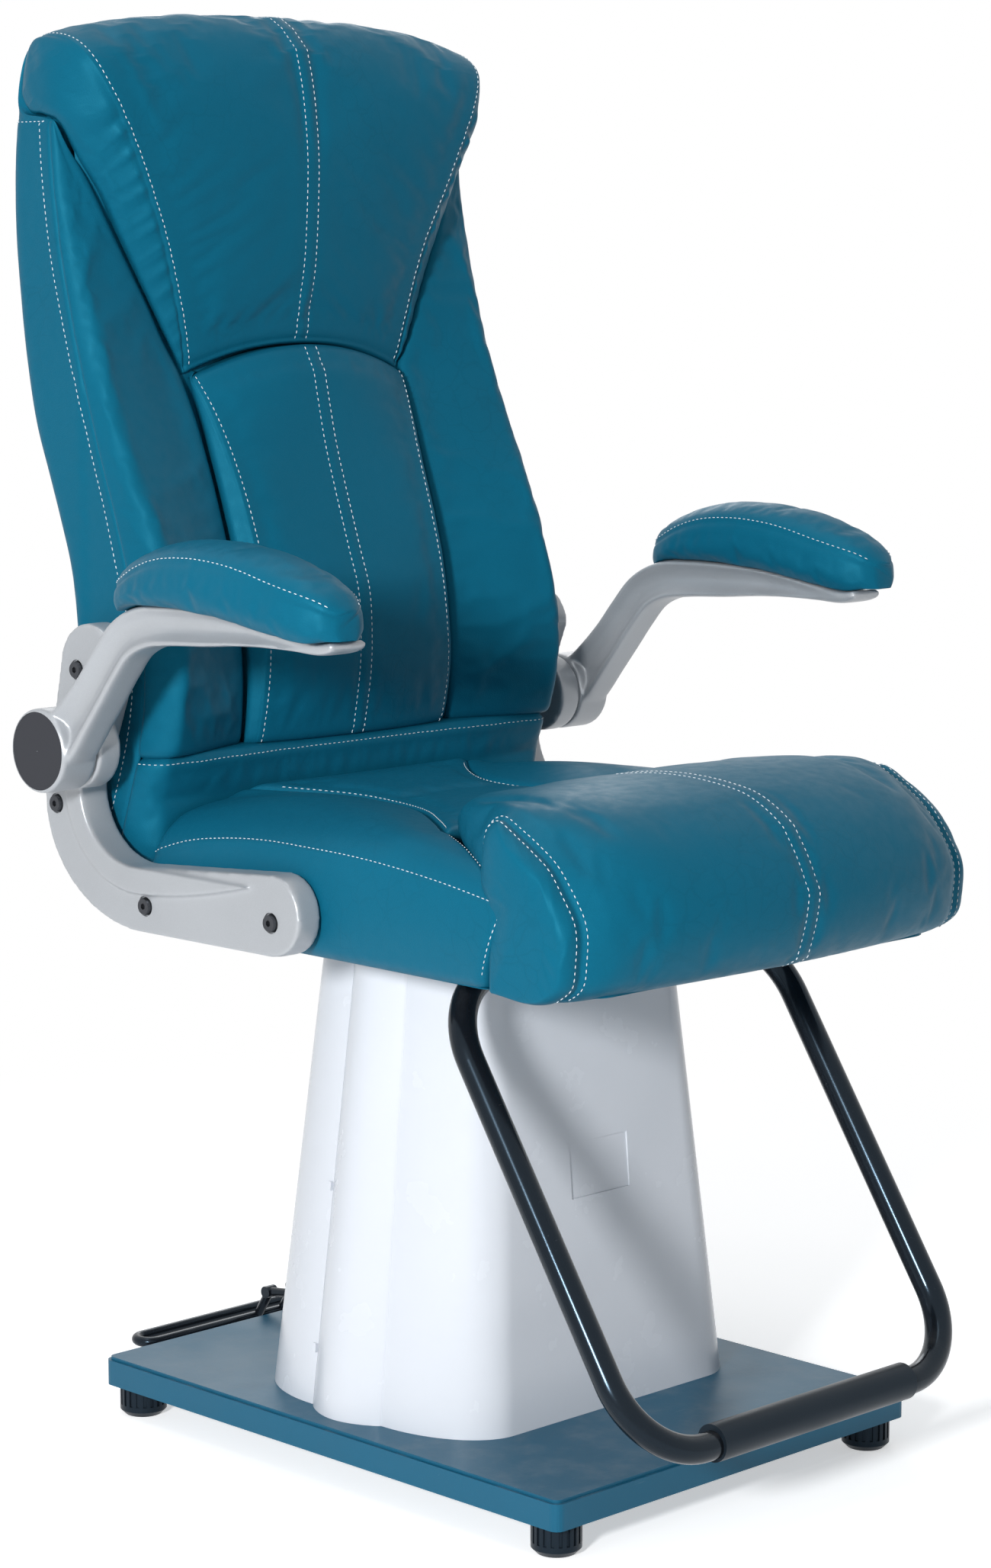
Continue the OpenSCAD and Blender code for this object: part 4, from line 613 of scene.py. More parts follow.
# padded piece with a detailed front, a rim tucked under its neighbours and a plain back
def addPad(name, grid, backs, soft, replaced, fill, most=4.0, tuck=1.5):
    rows, columns = grid.shape[:2]
    flat, rim = grid.reshape(-1, 3), rimNumbers(rows, columns)
    points, faces = [flat], gridFaces(rows, columns)
    last, count, edge = rim, rows * columns, flat[rim]
    inner = [min(max(n // columns, 4), rows - 5) * columns + min(max(n % columns, 4), columns - 5)
             for n in rim]
    past = edge - flat[inner]
    past /= np.maximum(np.linalg.norm(past, axis=1, keepdims=True), 1e-6)
    down = gridNormals(grid).reshape(-1, 3)[inner]
    if np.sum(down * (backs[-1](edge).mean(axis=0) - edge.mean(axis=0))) < 0:
        down = -down
    skirts = [edge + past * 0.6 * tuck + down * 0.6 * tuck, edge + past * tuck + down * (3 + tuck)]
    for back in skirts + backs:
        points.append(back(skirts[-1]) if callable(back) else back)
        numbers = list(range(count, count + len(rim)))
        faces += [(last[k], last[(k + 1) % len(rim)], numbers[(k + 1) % len(rim)], numbers[k])
                  for k in range(len(rim))]
        last, count = numbers, count + len(rim)
    closing, sides = closeLoop(points[-1], last, rows, columns, count)
    free = np.zeros(count + len(closing))
    free[:rows * columns] = soft.reshape(-1)
    return keepPad(name, np.concatenate(points + [closing]), faces + sides, (rows, columns), free,
                   "seat", replaced, fill, most)


# padded piece made of rings, closed at both ends
def addLoft(name, rings, soft, body, replaced, fill, most=3.0):
    rows, columns = rings.shape[:2]
    faces = gridFaces(rows, columns, closed=True)
    end = (rows - 1) * columns
    for k in range((columns - 1) // 2):
        across = [k, k + 1, columns - 2 - k, columns - 1 - k]
        across = across if len(set(across)) == 4 else [k, k + 1, columns - 1 - k]
        faces += [tuple(across[::-1]), tuple(end + n for n in across)]
    return keepPad(name, rings.reshape(-1, 3), faces, (rows, columns),
                   soft.reshape(-1).astype(float), body, replaced, fill, most)


def vertexPlaces(mesh):
    flat = np.zeros(len(mesh.vertices) * 3)
    mesh.vertices.foreach_get("co", flat)
    return flat.reshape(-1, 3)


def padGrid(pad):
    count = pad["rows"] * pad["columns"]
    return (vertexPlaces(pad["piece"].data)[:count] / mm).reshape(pad["rows"], pad["columns"], 3)


# small gathers that run out from a seam: (place along the seam, width, height)
def gathers(where, distance, folds, reach):
    found = np.zeros_like(distance)
    for place, width, high in folds:
        found += high * np.exp(-((where - place) / width) ** 2)
    return found * np.exp(-distance / reach)


# gathers beside sewn seams, with (reach, share) in the gussets and on the face
def puckers(where, distance, inGusset, folds, gusset, face):
    reach, share = (np.where(inGusset, a, b) for a, b in zip(gusset, face))
    return gathers(where, distance, folds, reach) * share


def foldList(seed, low, high, count, width, height):
    chance = np.random.RandomState(seed)
    places = np.linspace(low, high, count) + chance.uniform(-0.4, 0.4, count) * (high - low) / count
    return [(p, width * chance.uniform(0.6, 1.3), height * chance.uniform(0.2, 1.0)
             * chance.choice([1, 1, -0.6])) for p in places]


# back

backShape = {
    # height -> distance of the front behind the axis, at the middle
    "middle": [(566, 207), (600, 197), (636, 190), (662, 186), (697, 181.5), (731, 181), (779, 185),
               (810, 196), (833, 204), (874, 218), (912, 230), (950, 239), (982, 246), (1006, 254),
               (1040, 262)],
    # height -> half width and distance of the middle pad's side stitches
    "stitch": [(634, 116, 198), (650, 116, 194), (700, 116, 185), (750, 114, 186), (800, 114, 194),
               (850, 115, 209), (900, 118, 229), (950, 125.5, 253),
               (980, 131.5, 272), (1008, 136, 286)],
    # height -> half width and distance of the bottom of the side channels
    "channel": [(630, 130, 206), (650, 130, 203), (700, 130, 200), (750, 130, 204), (800, 131, 212),
                (850, 132, 226), (900, 133, 243), (950, 135, 263), (980, 138, 277),
                (1010, 154, 281), (1042, 169, 284), (1074, 185, 288), (1103, 200, 291),
                (1132, 214, 295), (1160, 229, 300), (1182, 243, 306), (1208, 254.5, 313)],
    # height -> distance of the wing's crest
    "crest": [(600, 189), (650, 170), (697, 160), (740, 161), (785, 172), (829, 186), (874, 206),
              (918, 228), (963, 248), (1008, 266), (1053, 281), (1098, 292), (1143, 303),
              (1200, 314), (1215, 316)],
    # height -> distance of the seam on the side
    "sideSeam": [(560, 236), (600, 222), (650, 206), (700, 198), (750, 202), (807, 221), (863, 240),
                 (905, 256), (947, 270), (990, 283), (1030, 294), (1079, 306), (1127, 314),
                 (1170, 319), (1215, 321)],
    # height -> distance of the rear corner
    "rear": [(560, 300), (640, 297), (700, 296), (745, 297), (766, 299), (807, 306), (848, 320),
             (890, 336), (931, 352), (973, 362), (1014, 369), (1056, 374), (1098, 378), (1140, 379),
             (1181, 377), (1222, 371), (1250, 364), (1275, 357), (1310, 345)],
    "halfWidth": 256.0,
    "crestWidth": 236.0,
    "bandTop": 636.0,
    "arcTop": 1006.0,
    "arcFall": 28.0,
    "lowest": 537.0,
    "wingTop": 1207.5,
    "middleSeam": 7.0,                    # two rows of stitches run beside the middle
}
read = {key: smoothTable(rows) for key, rows in backShape.items() if isinstance(rows, list)}


# front of the back board
def plane(z):
    return 249 + 0.1 * (z - 566)


def onPlane(loop):
    flat = loop.copy()
    flat[:, 1] = np.maximum(plane(loop[:, 2]), loop[:, 1] + 2)
    return flat


# sewn channel along the middle, between two rows of stitches
def middleSeam(grid, beside, width):
    x = np.abs(grid[:, :, 0])
    return groove(np.abs(x - beside), 1.6, 0.45), groove(x, width, 0.5)


lumbarLook = {
    "rowCount": 76, "columnCount": 46, "gussetColumns": 7, "stitchInset": 5.5, "gap": 0.3,
    "frontBow": 2.4, "middleRidge": 5.0,
    "seamGrooves": ((1.6, 1.5), (7, 1.0)),    # width and depth
    "endEdge": (13, 7), "sideEdge": (7, 6),   # radius and depth
    "folds": (3, 640, 990, 20, 5.5, 1.0), "gussetFolds": (13.0, 1.0), "faceFolds": (4.0, 0.35),
    "soft": (26, 26, 10),                 # how far seams, ends and sides hold the face
}


# middle pad between the channels, with gussets at its sides
def makeLumbar(look):
    vs = stations(look["rowCount"], (0.0, 1.0), 0.025, 4)
    inner = stations(look["columnCount"], (0.0, 1.0), 0.05, 6)
    bottom, top, gap = backShape["bandTop"], backShape["arcTop"], look["gap"]
    grid = []
    for v in vs:
        z = bottom + gap + v * (top - bottom - 2 * gap)
        low = z - backShape["arcFall"] * v ** 1.4
        sx, sy = read["stitch"](low)
        sx = sx + look["stitchInset"]
        cx, cy = read["channel"](low)
        xs = np.linspace(-sx, sx, 121)
        share = np.abs(xs / sx)
        middle = read["middle"](z)
        front = spread(np.stack([xs, middle + (sy + 0.8 - middle) * share ** look["frontBow"],
                                 z + (low - z) * share ** 2], axis=-1), inner)
        right = np.array([[sx + (cx - gap - sx) * t ** 1.3,
                           sy + 0.8 + (cy + 1 - sy) * t ** 0.85, low]
                          for t in np.linspace(0, 1, look["gussetColumns"] + 1)[1:]])
        grid.append(np.concatenate([mirrored(right), front, right]))
    grid = np.array(grid)
    seams = look["gussetColumns"], look["gussetColumns"] + len(inner) - 1
    along, up = alongRows(grid), alongColumns(grid)
    fromSeam, fromEnd, fromSide = fromColumns(along, seams), fromEnds(up), fromSides(along)
    columns = np.arange(grid.shape[1])
    gusset = (columns < seams[0]) | (columns > seams[1])
    puck = puckers(grid[:, :, 2], fromSeam, gusset, foldList(*look["folds"]),
                   look["gussetFolds"], look["faceFolds"])
    rows, ridge = middleSeam(grid, backShape["middleSeam"], look["middleRidge"])
    depth = (grooves(fromSeam, look["seamGrooves"]) + edgeDrop(fromEnd, *look["endEdge"])
             + edgeDrop(fromSide, *look["sideEdge"]) + rows - ridge - puck)
    soft = multiplied(near, zip((fromSeam, fromEnd, fromSide), look["soft"]))
    return addPad("lumbarPad", sunk(grid, depth, 1, -1), [onPlane], soft, ["lumbar_pad"], 0.7, 3.5)


bandLook = {
    "rowCount": 20, "columnCount": 104, "flatHalf": 60.0,
    "topEdge": (10, 6), "bottomEdge": (26, 12), "sideEdge": (8, 3),
    "folds": (5, -235, 235, 22, 7, 0.8), "foldReach": 9.0, "soft": (24, 24, 20),
}


def makeBand(look):
    low, top = backShape["lowest"], backShape["bandTop"]
    us = stations(look["columnCount"], (0.0, 1.0), 0.02, 4)
    w, c, flat = backShape["halfWidth"], backShape["crestWidth"], look["flatHalf"]
    grid = []
    for z in low + stations(look["rowCount"], (0.0, 1.0), 0.12, 4) * (top - 0.3 - low):
        middle, side = read["middle"](z), read["crest"](max(z, 600))
        xs = np.linspace(-c, c, 161)
        share = near(np.abs(xs) - flat, c - flat)
        face = np.stack([xs, middle + (side + 4 - middle) * share ** 2 * (3 - 2 * share),
                         np.full(161, z)], -1)
        corner = sideCorner(c, w, face[-1, 1], read["sideSeam"](z), z)
        grid.append(spread(np.concatenate([mirrored(corner), face, corner]), us))
    grid = np.array(grid)
    along, up = alongRows(grid), alongColumns(grid)
    fromTop, fromSide = up[-1] - up, fromSides(along)
    depth = (edgeDrop(fromTop, *look["topEdge"]) + edgeDrop(up, *look["bottomEdge"])
             + edgeDrop(fromSide, *look["sideEdge"]))
    depth = depth - gathers(grid[:, :, 0], fromTop, foldList(*look["folds"]), look["foldReach"])
    soft = multiplied(near, zip((fromTop, up, fromSide), look["soft"]))
    return addPad("lowerBand", sunk(grid, depth, 1, -1), [onPlane], soft, ["lower_band"], 0.6, 2.5)


wingLook = {
    "rowCount": 110, "columnCount": 30, "gap": 0.3, "crestShare": 0.45,
    "channelEdge": (9, 7), "seamEdge": (5, 2.2), "endEdge": (12, 6.5),
    "upperFolds": (11, 1010, 1150, 6, 9, 1.4), "lowerFolds": (21, 650, 900, 7, 9, 0.7),
    "foldReach": 34.0, "foldShare": 0.7, "soft": (20, 20, 24, 30),
}


def makeWing(side, look):
    low, w = backShape["bandTop"] + look["gap"], backShape["halfWidth"]
    us = stations(look["columnCount"], (0.0, 1.0), 0.05, 4)
    grid = []
    for z in low + stations(look["rowCount"], (0.0,), 0.02, 4) * (backShape["wingTop"] - low):
        cx, cy = read["channel"](z)
        cx = min(cx + look["gap"], w - 1.2)
        top = max(backShape["crestWidth"], cx + look["crestShare"] * (w - cx))
        crest = read["crest"](z)
        s = np.linspace(0, 1, 60)
        rise = 0.55 * s + 0.45 * np.sin(s * math.pi / 2) ** 1.3
        face = np.stack([cx + (top - cx) * s, cy + 1 + (crest - cy - 1) * rise, np.full(60, z)], -1)
        corner = sideCorner(top, w, crest, read["sideSeam"](z), z)
        grid.append(spread(np.concatenate([face, corner]), us) * [side, 1, 1])
    grid = np.array(grid)
    along, up = alongRows(grid), alongColumns(grid)
    seam = along[:, -1:] - along
    folds = [fold for seed, *rest in (look["upperFolds"], look["lowerFolds"])
             for fold in foldList(seed + side, *rest)]
    depth = (edgeDrop(along, *look["channelEdge"]) + edgeDrop(seam, *look["seamEdge"])
             + edgeDrop(up, *look["endEdge"])
             - gathers(grid[:, :, 2], seam, folds, look["foldReach"]) * look["foldShare"])
    depth = depth * np.clip(along[:, -1:] / 40, 0.1, 1)
    soft = multiplied(near, zip((along, seam, up, up[-1] - up), look["soft"]))
    word, tail, _ = sideWords[side]
    return addPad("wing" + word, sunk(grid, depth, 1, -1), [onPlane], soft, ["wing" + tail],
                  0.7, 3.5, 6.0)


# lines (side, behind, up) from the arc up and over: middle (without side), seam,
# outer rim and the corner between them
headShape = {
    "middle": [(266, 1006.4), (263, 1036), (258.5, 1070), (255.5, 1105), (253, 1147),
               (251.5, 1185), (252, 1223), (255.5, 1250), (264, 1276), (279, 1295), (300, 1306),
               (325, 1310), (346, 1307)],
    "seam": [(134, 277, 981), (146, 272, 1030), (158, 269.5, 1072), (171, 266.5, 1108),
             (189, 262.5, 1146), (207, 260.5, 1184), (224, 261, 1217), (238, 265, 1243),
             (247, 273, 1262), (251, 287, 1275), (252, 306, 1283), (251, 330, 1286),
             (247, 350, 1284)],
    "rim": [(138.2, 279, 979), (161, 284, 1024), (183, 289, 1069), (201.5, 292, 1105),
            (219, 297, 1141), (239, 304.5, 1174), (254.5, 314, 1206), (256, 334, 1212.5),
            (255.5, 354, 1215), (253, 367, 1228), (250, 367, 1250), (247, 363, 1268),
            (243, 356, 1279)],
    "corner": [(136.5, 277, 980), (154, 276, 1027), (171, 277, 1070), (187, 277, 1106),
               (206, 277, 1143), (226, 278, 1179), (252, 282, 1213), (262, 297, 1231),
               (266, 313, 1243), (266, 332, 1256), (262, 340, 1269), (256, 348, 1279),
               (248, 354, 1283)],
}
headLook = {
    "rowCount": 190, "columnCount": 64, "gussetColumns": 13, "middleRidge": 5.0,
    "seamGroove": (1.8, 2.0), "seamSwell": (8, 1.4), "arcEdge": (14, 7), "rearEdge": (8, 3),
    "sideEdge": (8, 6), "folds": (7, 20, 250, 30, 3.2, 2.6),
    "gussetFolds": (13.0, 1.0), "faceFolds": (5.0, 0.35), "soft": (30, 30, 20, 14),
    # puckers at the upper corner: place along the seam, width, height
    "puckers": [(262, 9, 3.8), (246, 4, -3.0), (236, 5, 3.4), (225, 3, -2.6), (214, 4, 3.0),
                (196, 4, 2.6), (176, 4, 2.2), (140, 3.5, 1.8)],
    "lean": (0.5, 0.15),                  # slant of the puckers in the gusset and on the face
    "top": 1296.0,
}


def makeHeadrest(look):
    line = {key: smoothLine(rows) for key, rows in headShape.items()}
    vs = stations(look["rowCount"], (0.0, 1.0), 0.02, 4)
    inner = stations(look["columnCount"], (0.0, 1.0), 0.03, 6)
    grid = []
    for v in vs:
        my, mz = line["middle"](v)
        rim, corner, seam = line["rim"](v), line["corner"](v), line["seam"](v)
        sx, sy, sz = seam
        xs = np.linspace(-sx, sx, 161)
        share = np.abs(xs / sx) ** (2.2 + 0.6 * near(v - 0.55, 0.25))
        front = spread(np.stack([xs, my + (sy - my) * share, mz + (sz - mz) * share], -1), inner)
        right = np.array([(1 - t) ** 2 * seam + 2 * t * (1 - t) * corner + t * t * rim
                          for t in np.linspace(0, 1, look["gussetColumns"] + 1)[1:]])
        grid.append(np.concatenate([mirrored(right), front, right]))
    grid = np.array(grid)
    seams = look["gussetColumns"], look["gussetColumns"] + len(inner) - 1
    along, up = alongRows(grid), alongColumns(grid)
    fromSeam, fromSide, fromTop = fromColumns(along, seams), fromSides(along), up[-1] - up
    columns = np.arange(grid.shape[1])
    gusset = (columns < seams[0]) | (columns > seams[1])
    leaning = up[:, seams[0]:seams[0] + 1] + np.where(gusset, *look["lean"]) * fromSeam
    puck = puckers(leaning, fromSeam, gusset, foldList(*look["folds"]) + look["puckers"],
                   look["gussetFolds"], look["faceFolds"])
    rows, ridge = middleSeam(grid, backShape["middleSeam"], look["middleRidge"])
    depth = (groove(fromSeam, *look["seamGroove"])
             + groove(fromSeam, *look["seamSwell"]) * near(along[:, -1:], 520)
             + edgeDrop(up, *look["arcEdge"]) + edgeDrop(fromTop, *look["rearEdge"])
             + edgeDrop(fromSide, *look["sideEdge"]) + rows - ridge - puck)
    depth = depth * near(up + 0.8, 4)
    soft = multiplied(near, zip((fromSeam, up, fromTop, fromSide), look["soft"]))

    def behind(loop):
        flat = loop.copy()
        flat[:, 0] *= 0.97
        flat[:, 1] = np.maximum(plane(loop[:, 2]) + 2, loop[:, 1] + 1.5)
        flat[:, 2] = np.minimum(loop[:, 2], look["top"])
        return flat
    return addPad("headPad", sunk(grid, depth, 1, -1), [behind], soft, ["headrest"],
                  0.75, 4.5, 6.0)


shellLook = {
    "rowCount": 110, "columnCount": 104,
    "turnOver": 0.86,                     # share of the rows below the side panel's top
    "sideTop": 1211.0, "middleTop": 1235.0, "top": 1303.0, "topBack": 348.0,
    "crown": 14.0, "radius": 11.0,
    "seamHalf": 172.0, "seamHeight": 700.0,   # sewn panel on the rear
    "sideEdge": (5, 2.0), "bottomEdge": (16, 8), "topEdge": (6, 3),
    "panelGroove": (1.6, 1.6), "lineGroove": (2.0, 1.5), "soft": (30, 30, 24, 24, 24),
}


def makeShell(look):
    rimLine = smoothLine(headShape["rim"])
    low, w = backShape["lowest"], backShape["halfWidth"]
    over, radius = look["turnOver"], look["radius"]
    us = stations(look["columnCount"], (0.0, 1.0), 0.012, 4)
    grid = []
    for s in stations(look["rowCount"], (0.0, 1.0), 0.015, 4):
        t = max(0.0, (s - over) / (1 - over))
        if s <= over:
            z = low + (look["sideTop"] - low) * s / over
            rim = np.array([w, read["sideSeam"](z) + 0.3, z])
            middleZ = low + (look["middleTop"] - low) * s / over
        else:
            rim = rimLine(0.5 + 0.5 * t) + [0.3, 0.4, 0]
            middleZ = look["middleTop"] + (look["top"] - look["middleTop"]) * t
            z = rim[2]
            w = min(backShape["halfWidth"], rim[0] + 0.4)
        bend = read["rear"](min(z, 1300))
        middleY = read["rear"](middleZ) + look["crown"]
        middleY = middleY + (look["topBack"] - middleY) * t ** 3
        corner = np.array([w, max(rim[1] + 2, bend - radius), z])
        panel = rim + (corner - rim) * np.linspace(0, 1, 20)[:, None]
        back = max(bend + 2.5, corner[1] + 1)
        inX = w - radius * 1.3
        turn = np.radians(np.linspace(0, 90, 24))[1:]
        bow = np.stack([w - (w - inX) * (1 - np.cos(turn)),
                        corner[1] + (back - corner[1]) * np.sin(turn), np.full(23, z)], -1)
        xs = np.linspace(inX, 0, 60)[1:]
        q = 1 - (xs / inX) ** 2
        rear = np.stack([xs, back + (middleY - back) * q, z + (middleZ - z) * q], -1)
        right = np.concatenate([panel, bow, rear])
        grid.append(spread(np.concatenate([right * [-1, 1, 1], right[::-1][1:]]), us))
    grid = np.array(grid)
    along, up = alongRows(grid), alongColumns(grid)
    fromSide, fromTop = fromSides(along), up[-1] - up

    def fromSewn(grid):
        return (np.abs(np.abs(grid[:, :, 0]) - look["seamHalf"]),
                np.abs(grid[:, :, 2] - look["seamHeight"]))
    fromPanel, fromLine = fromSewn(grid)
    depth = (edgeDrop(fromSide, *look["sideEdge"]) + edgeDrop(up, *look["bottomEdge"])
             + edgeDrop(fromTop, *look["topEdge"])
             + groove(fromPanel * (grid[:, :, 1] > 280), *look["panelGroove"])
             + groove(fromLine, *look["lineGroove"]) * (np.abs(grid[:, :, 0]) < look["seamHalf"]))
    grid = sunk(grid, depth, 1, 1)
    soft = multiplied(near, zip((fromSide, up, fromTop, *fromSewn(grid)), look["soft"]))

    def inside(loop):
        flat = loop.copy()
        flat[:, 0] *= 0.96
        flat[:, 1] = np.minimum(plane(loop[:, 2]) + 22, np.maximum(loop[:, 1] + 1, 255))
        return flat
    return addPad("backShell", grid, [inside], soft, ["back_shell"], 0.5, 3.0)


# lining over the board's front, seen only down in the seams
liningLook = {"low": 575.0, "top": 1288.0, "half": 236.0, "round": 14.0, "roundFrom": 1200.0,
              "rowCount": 40, "columnCount": 9, "depths": (-1.4, -0.5)}


def makeLining(look):
    rows, columns = look["rowCount"], look["columnCount"]
    points = []
    for deep in look["depths"]:
        for z in np.linspace(look["low"], look["top"], rows):
            bent = max(0, (z - look["roundFrom"]) / (look["top"] - look["roundFrom"]))
            w = look["half"] - look["round"] * bent ** 2
            points += [(x, plane(z) + deep, z) for x in np.linspace(-w, w, columns)]
    half = rows * columns
    sheet, rim = gridFaces(rows, columns), rimNumbers(rows, columns)
    faces = sheet + [tuple(half + n for n in face[::-1]) for face in sheet]
    faces += [(a, b, half + b, half + a) for a, b in zip(rim, rim[1:] + rim[:1])]
    piece = addMesh("backLining", points, faces, "teal_leatherette")
    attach(piece, "seat")


makeLining(liningLook)
lumbar = makeLumbar(lumbarLook)
band = makeBand(bandLook)
for side in sideWords:
    makeWing(side, wingLook)
headrest = makeHeadrest(headLook)
shell = makeShell(shellLook)
print("back is shaped")

# seat

seatShape = {
    # distance behind the axis -> half width of the middle panel, its height, the crest
    # beside it, the side seam
    "panelHalf": [(-120, 187), (-60, 140), (0, 99), (60, 81), (100, 83), (150, 110), (195, 150)],
    "panelTop": [(-125, 601), (-60, 598), (0, 596), (60, 596), (120, 599), (160, 602), (195, 606)],
    "crest": [(-266, 580), (-200, 592), (-136, 601), (-60, 606), (20, 607), (100, 604), (150, 598),
              (195, 590)],
    "sideSeam": [(-266, 557), (-191, 568), (-101, 576), (-23, 578), (39, 578), (88, 574),
                 (138, 566), (195, 548)],
    "half": 259.0, "floor": 485.0, "rear": 191.0,
    "panelFront": -120.0, "front": -266.0,
}
seat = {key: smoothTable(rows) for key, rows in seatShape.items() if isinstance(rows, list)}


insertLook = {
    "rowCount": 62, "columnCount": 40, "gap": 0.3, "frontBow": 14.0, "bottom": 501.0,
    "sideEdge": (16, 7.5), "frontEdge": (14, 7), "rearEdge": (20, 9), "soft": (26, 26, 30),
}


def makeInsert(look):
    vs = stations(look["rowCount"], (0.0, 1.0), 0.03, 4)
    us = stations(look["columnCount"], (0.0, 1.0), 0.04, 4)
    grid = np.zeros((len(vs), len(us), 3))
    for i, v in enumerate(vs):
        for j, u in enumerate(us):
            front = seatShape["panelFront"] + look["frontBow"] * math.sin(math.pi * u) + 0.6
            y = front + (seatShape["rear"] - front) * v
            half = seat["panelHalf"](y) - look["gap"]
            grid[i, j] = [(2 * u - 1) * half, y, seat["panelTop"](y)]
    along, up = alongRows(grid), alongColumns(grid)
    fromSide, fromRear = fromSides(along), up[-1] - up
    grid[:, :, 2] -= (edgeDrop(fromSide, *look["sideEdge"]) + edgeDrop(up, *look["frontEdge"])
                      + edgeDrop(fromRear, *look["rearEdge"]))
    soft = multiplied(near, zip((fromSide, up, fromRear), look["soft"]))

    def under(loop):
        flat = loop.copy()
        flat[:, 2] = look["bottom"]
        return flat
    return addPad("seatInsert", grid, [under], soft, ["seat_insert"], 0.6, 4.0)


thighLook = {
    "rowCount": 84, "topColumns": 30, "sideColumns": 16, "gap": 0.3,
    "lean": 29.0,                         # the side's front edge leans back to the floor
    "bulge": 3.0, "tuckIn": 3.5,
    "seamGrooves": ((1.8, 1.6), (8, 0.8)), "innerEdge": (14, 7), "frontEdge": (12, 6),
    "rearEdge": (18, 9), "floorEdge": (9, 5), "soft": (26, 24, 26, 30, 24),
    "folds": (31, -240, -120, 6, 9, 1.6), "foldReach": 22.0, "foldShare": 0.6,
    "underHalf": (60.0, 246.0), "underEnds": (-250.0, 185.0), "underHeights": (485.4, 486.5),
}


def makeThigh(side, look):
    vs = stations(look["rowCount"], (0.0, 1.0), 0.025, 4)
    tops = stations(look["topColumns"], (0.0, 1.0), 0.05, 4)
    sides = np.linspace(0, 1, look["sideColumns"])[1:]
    w, rear, front = seatShape["half"], seatShape["rear"], seatShape["panelFront"]
    seamColumn = len(tops) - 1
    grid = np.zeros((len(vs), len(tops) + len(sides), 3))
    for i, v in enumerate(vs):
        for j, u in enumerate(tops):
            start = front + (seatShape["front"] - front) * u + 0.8
            y = start + (rear - start) * v
            inner = seat["panelHalf"](y) + look["gap"]
            crest, seam = seat["crest"](y), seat["sideSeam"](y)
            low = seat["panelTop"](y) - 1
            body = smoothTable([(0, low), (0.25, low + 0.7 * (crest - low)), (0.5, crest),
                                (0.74, crest - 0.2 * (crest - seam)),
                                (0.9, crest - 0.58 * (crest - seam)), (1, seam)])
            grid[i, j] = [inner + (w - inner) * u, y, body(u)]
        for k, t in enumerate(sides):
            swell = look["bulge"] * math.sin(math.pi * min(t * 1.1, 1)) - look["tuckIn"] * t ** 3
            grid[i, len(tops) + k] = [w + swell, y + look["lean"] * t * max(0, 1 - v * 9),
                                      seam + (seatShape["floor"] + 0.5 - seam) * t]
    grid[:, :, 0] *= side
    along, up = alongRows(grid), alongColumns(grid)
    fromSeam, fromRear = fromColumns(along, [seamColumn]), up[-1] - up
    fromFloor = along[:, -1:] - along
    onTop = np.arange(grid.shape[1]) <= seamColumn
    seed, *rest = look["folds"]
    puck = gathers(grid[:, :, 0] * side * 0.5 + grid[:, :, 1], up,
                   foldList(seed + side, *rest), look["foldReach"]) * onTop * look["foldShare"]
    depth = (edgeDrop(along, *look["innerEdge"]) + grooves(fromSeam, look["seamGrooves"])
             + edgeDrop(up, *look["frontEdge"]) + edgeDrop(fromRear, *look["rearEdge"])
             + edgeDrop(fromFloor, *look["floorEdge"]) - puck)
    soft = multiplied(near, zip((along, fromSeam, up, fromRear, fromFloor), look["soft"]))

    def under(loop):
        flat = loop.copy()
        flat[:, 0] = np.clip(np.abs(loop[:, 0]), *look["underHalf"]) * side
        flat[:, 1] = np.clip(loop[:, 1], *look["underEnds"])
        flat[:, 2] = np.where(loop[:, 2] < 500, *look["underHeights"])
        return flat
    word, tail, _ = sideWords[side]
    pad = addPad("thighPad" + word, sunk(grid, depth, 2, 1, seamColumn // 2), [under], soft,
                 ["thigh_pad" + tail], 0.7, 4.0)
    pad["seamColumn"] = seamColumn
    return pad


bolsterShape = {
    # profiles (y, z) from the back seam over the top and round the front to the floor
    0: [(-104, 597), (-106, 611), (-119, 624), (-168, 633), (-224, 637), (-275, 634),
        (-317, 626), (-350, 606), (-370, 579), (-379.5, 548), (-374, 517),
        (-361, 494), (-336, 485), (-240, 485)],
    110: [(-113, 597), (-115, 611), (-128, 624), (-172, 633), (-224, 637), (-273, 633.5),
          (-314, 624.5), (-345, 604), (-364, 577), (-373, 547.5), (-368, 517.5),
          (-356, 494.5), (-333, 485), (-241, 485)],
    187: [(-136, 598), (-138, 611), (-149, 623), (-182, 632), (-224, 636.5), (-268, 632),
          (-305, 620), (-334, 598), (-352, 573), (-361, 547), (-357, 519),
          (-347, 496), (-326, 485), (-243, 485)],
    222: [(-190, 579), (-191, 597), (-197, 615), (-213, 629), (-236, 634.5), (-266, 627),
          (-292, 614), (-319, 594), (-338, 571), (-349, 547), (-347, 520),
          (-340, 496), (-321, 485), (-245, 485)],
    241: [(-226, 568), (-226, 588), (-228, 608), (-233, 624), (-245, 630), (-262, 622),
          (-282, 611), (-307, 593), (-325, 571), (-338, 547), (-338, 522),
          (-333, 498), (-317, 486), (-246, 485)],
}
bolsterCap = [(-264, 558), (-264, 568), (-266, 581), (-271, 592), (-278, 597), (-286, 595),
              (-296, 588), (-309, 575), (-319, 560), (-326, 545), (-327, 524),
              (-323, 504), (-311, 491), (-250, 487)]
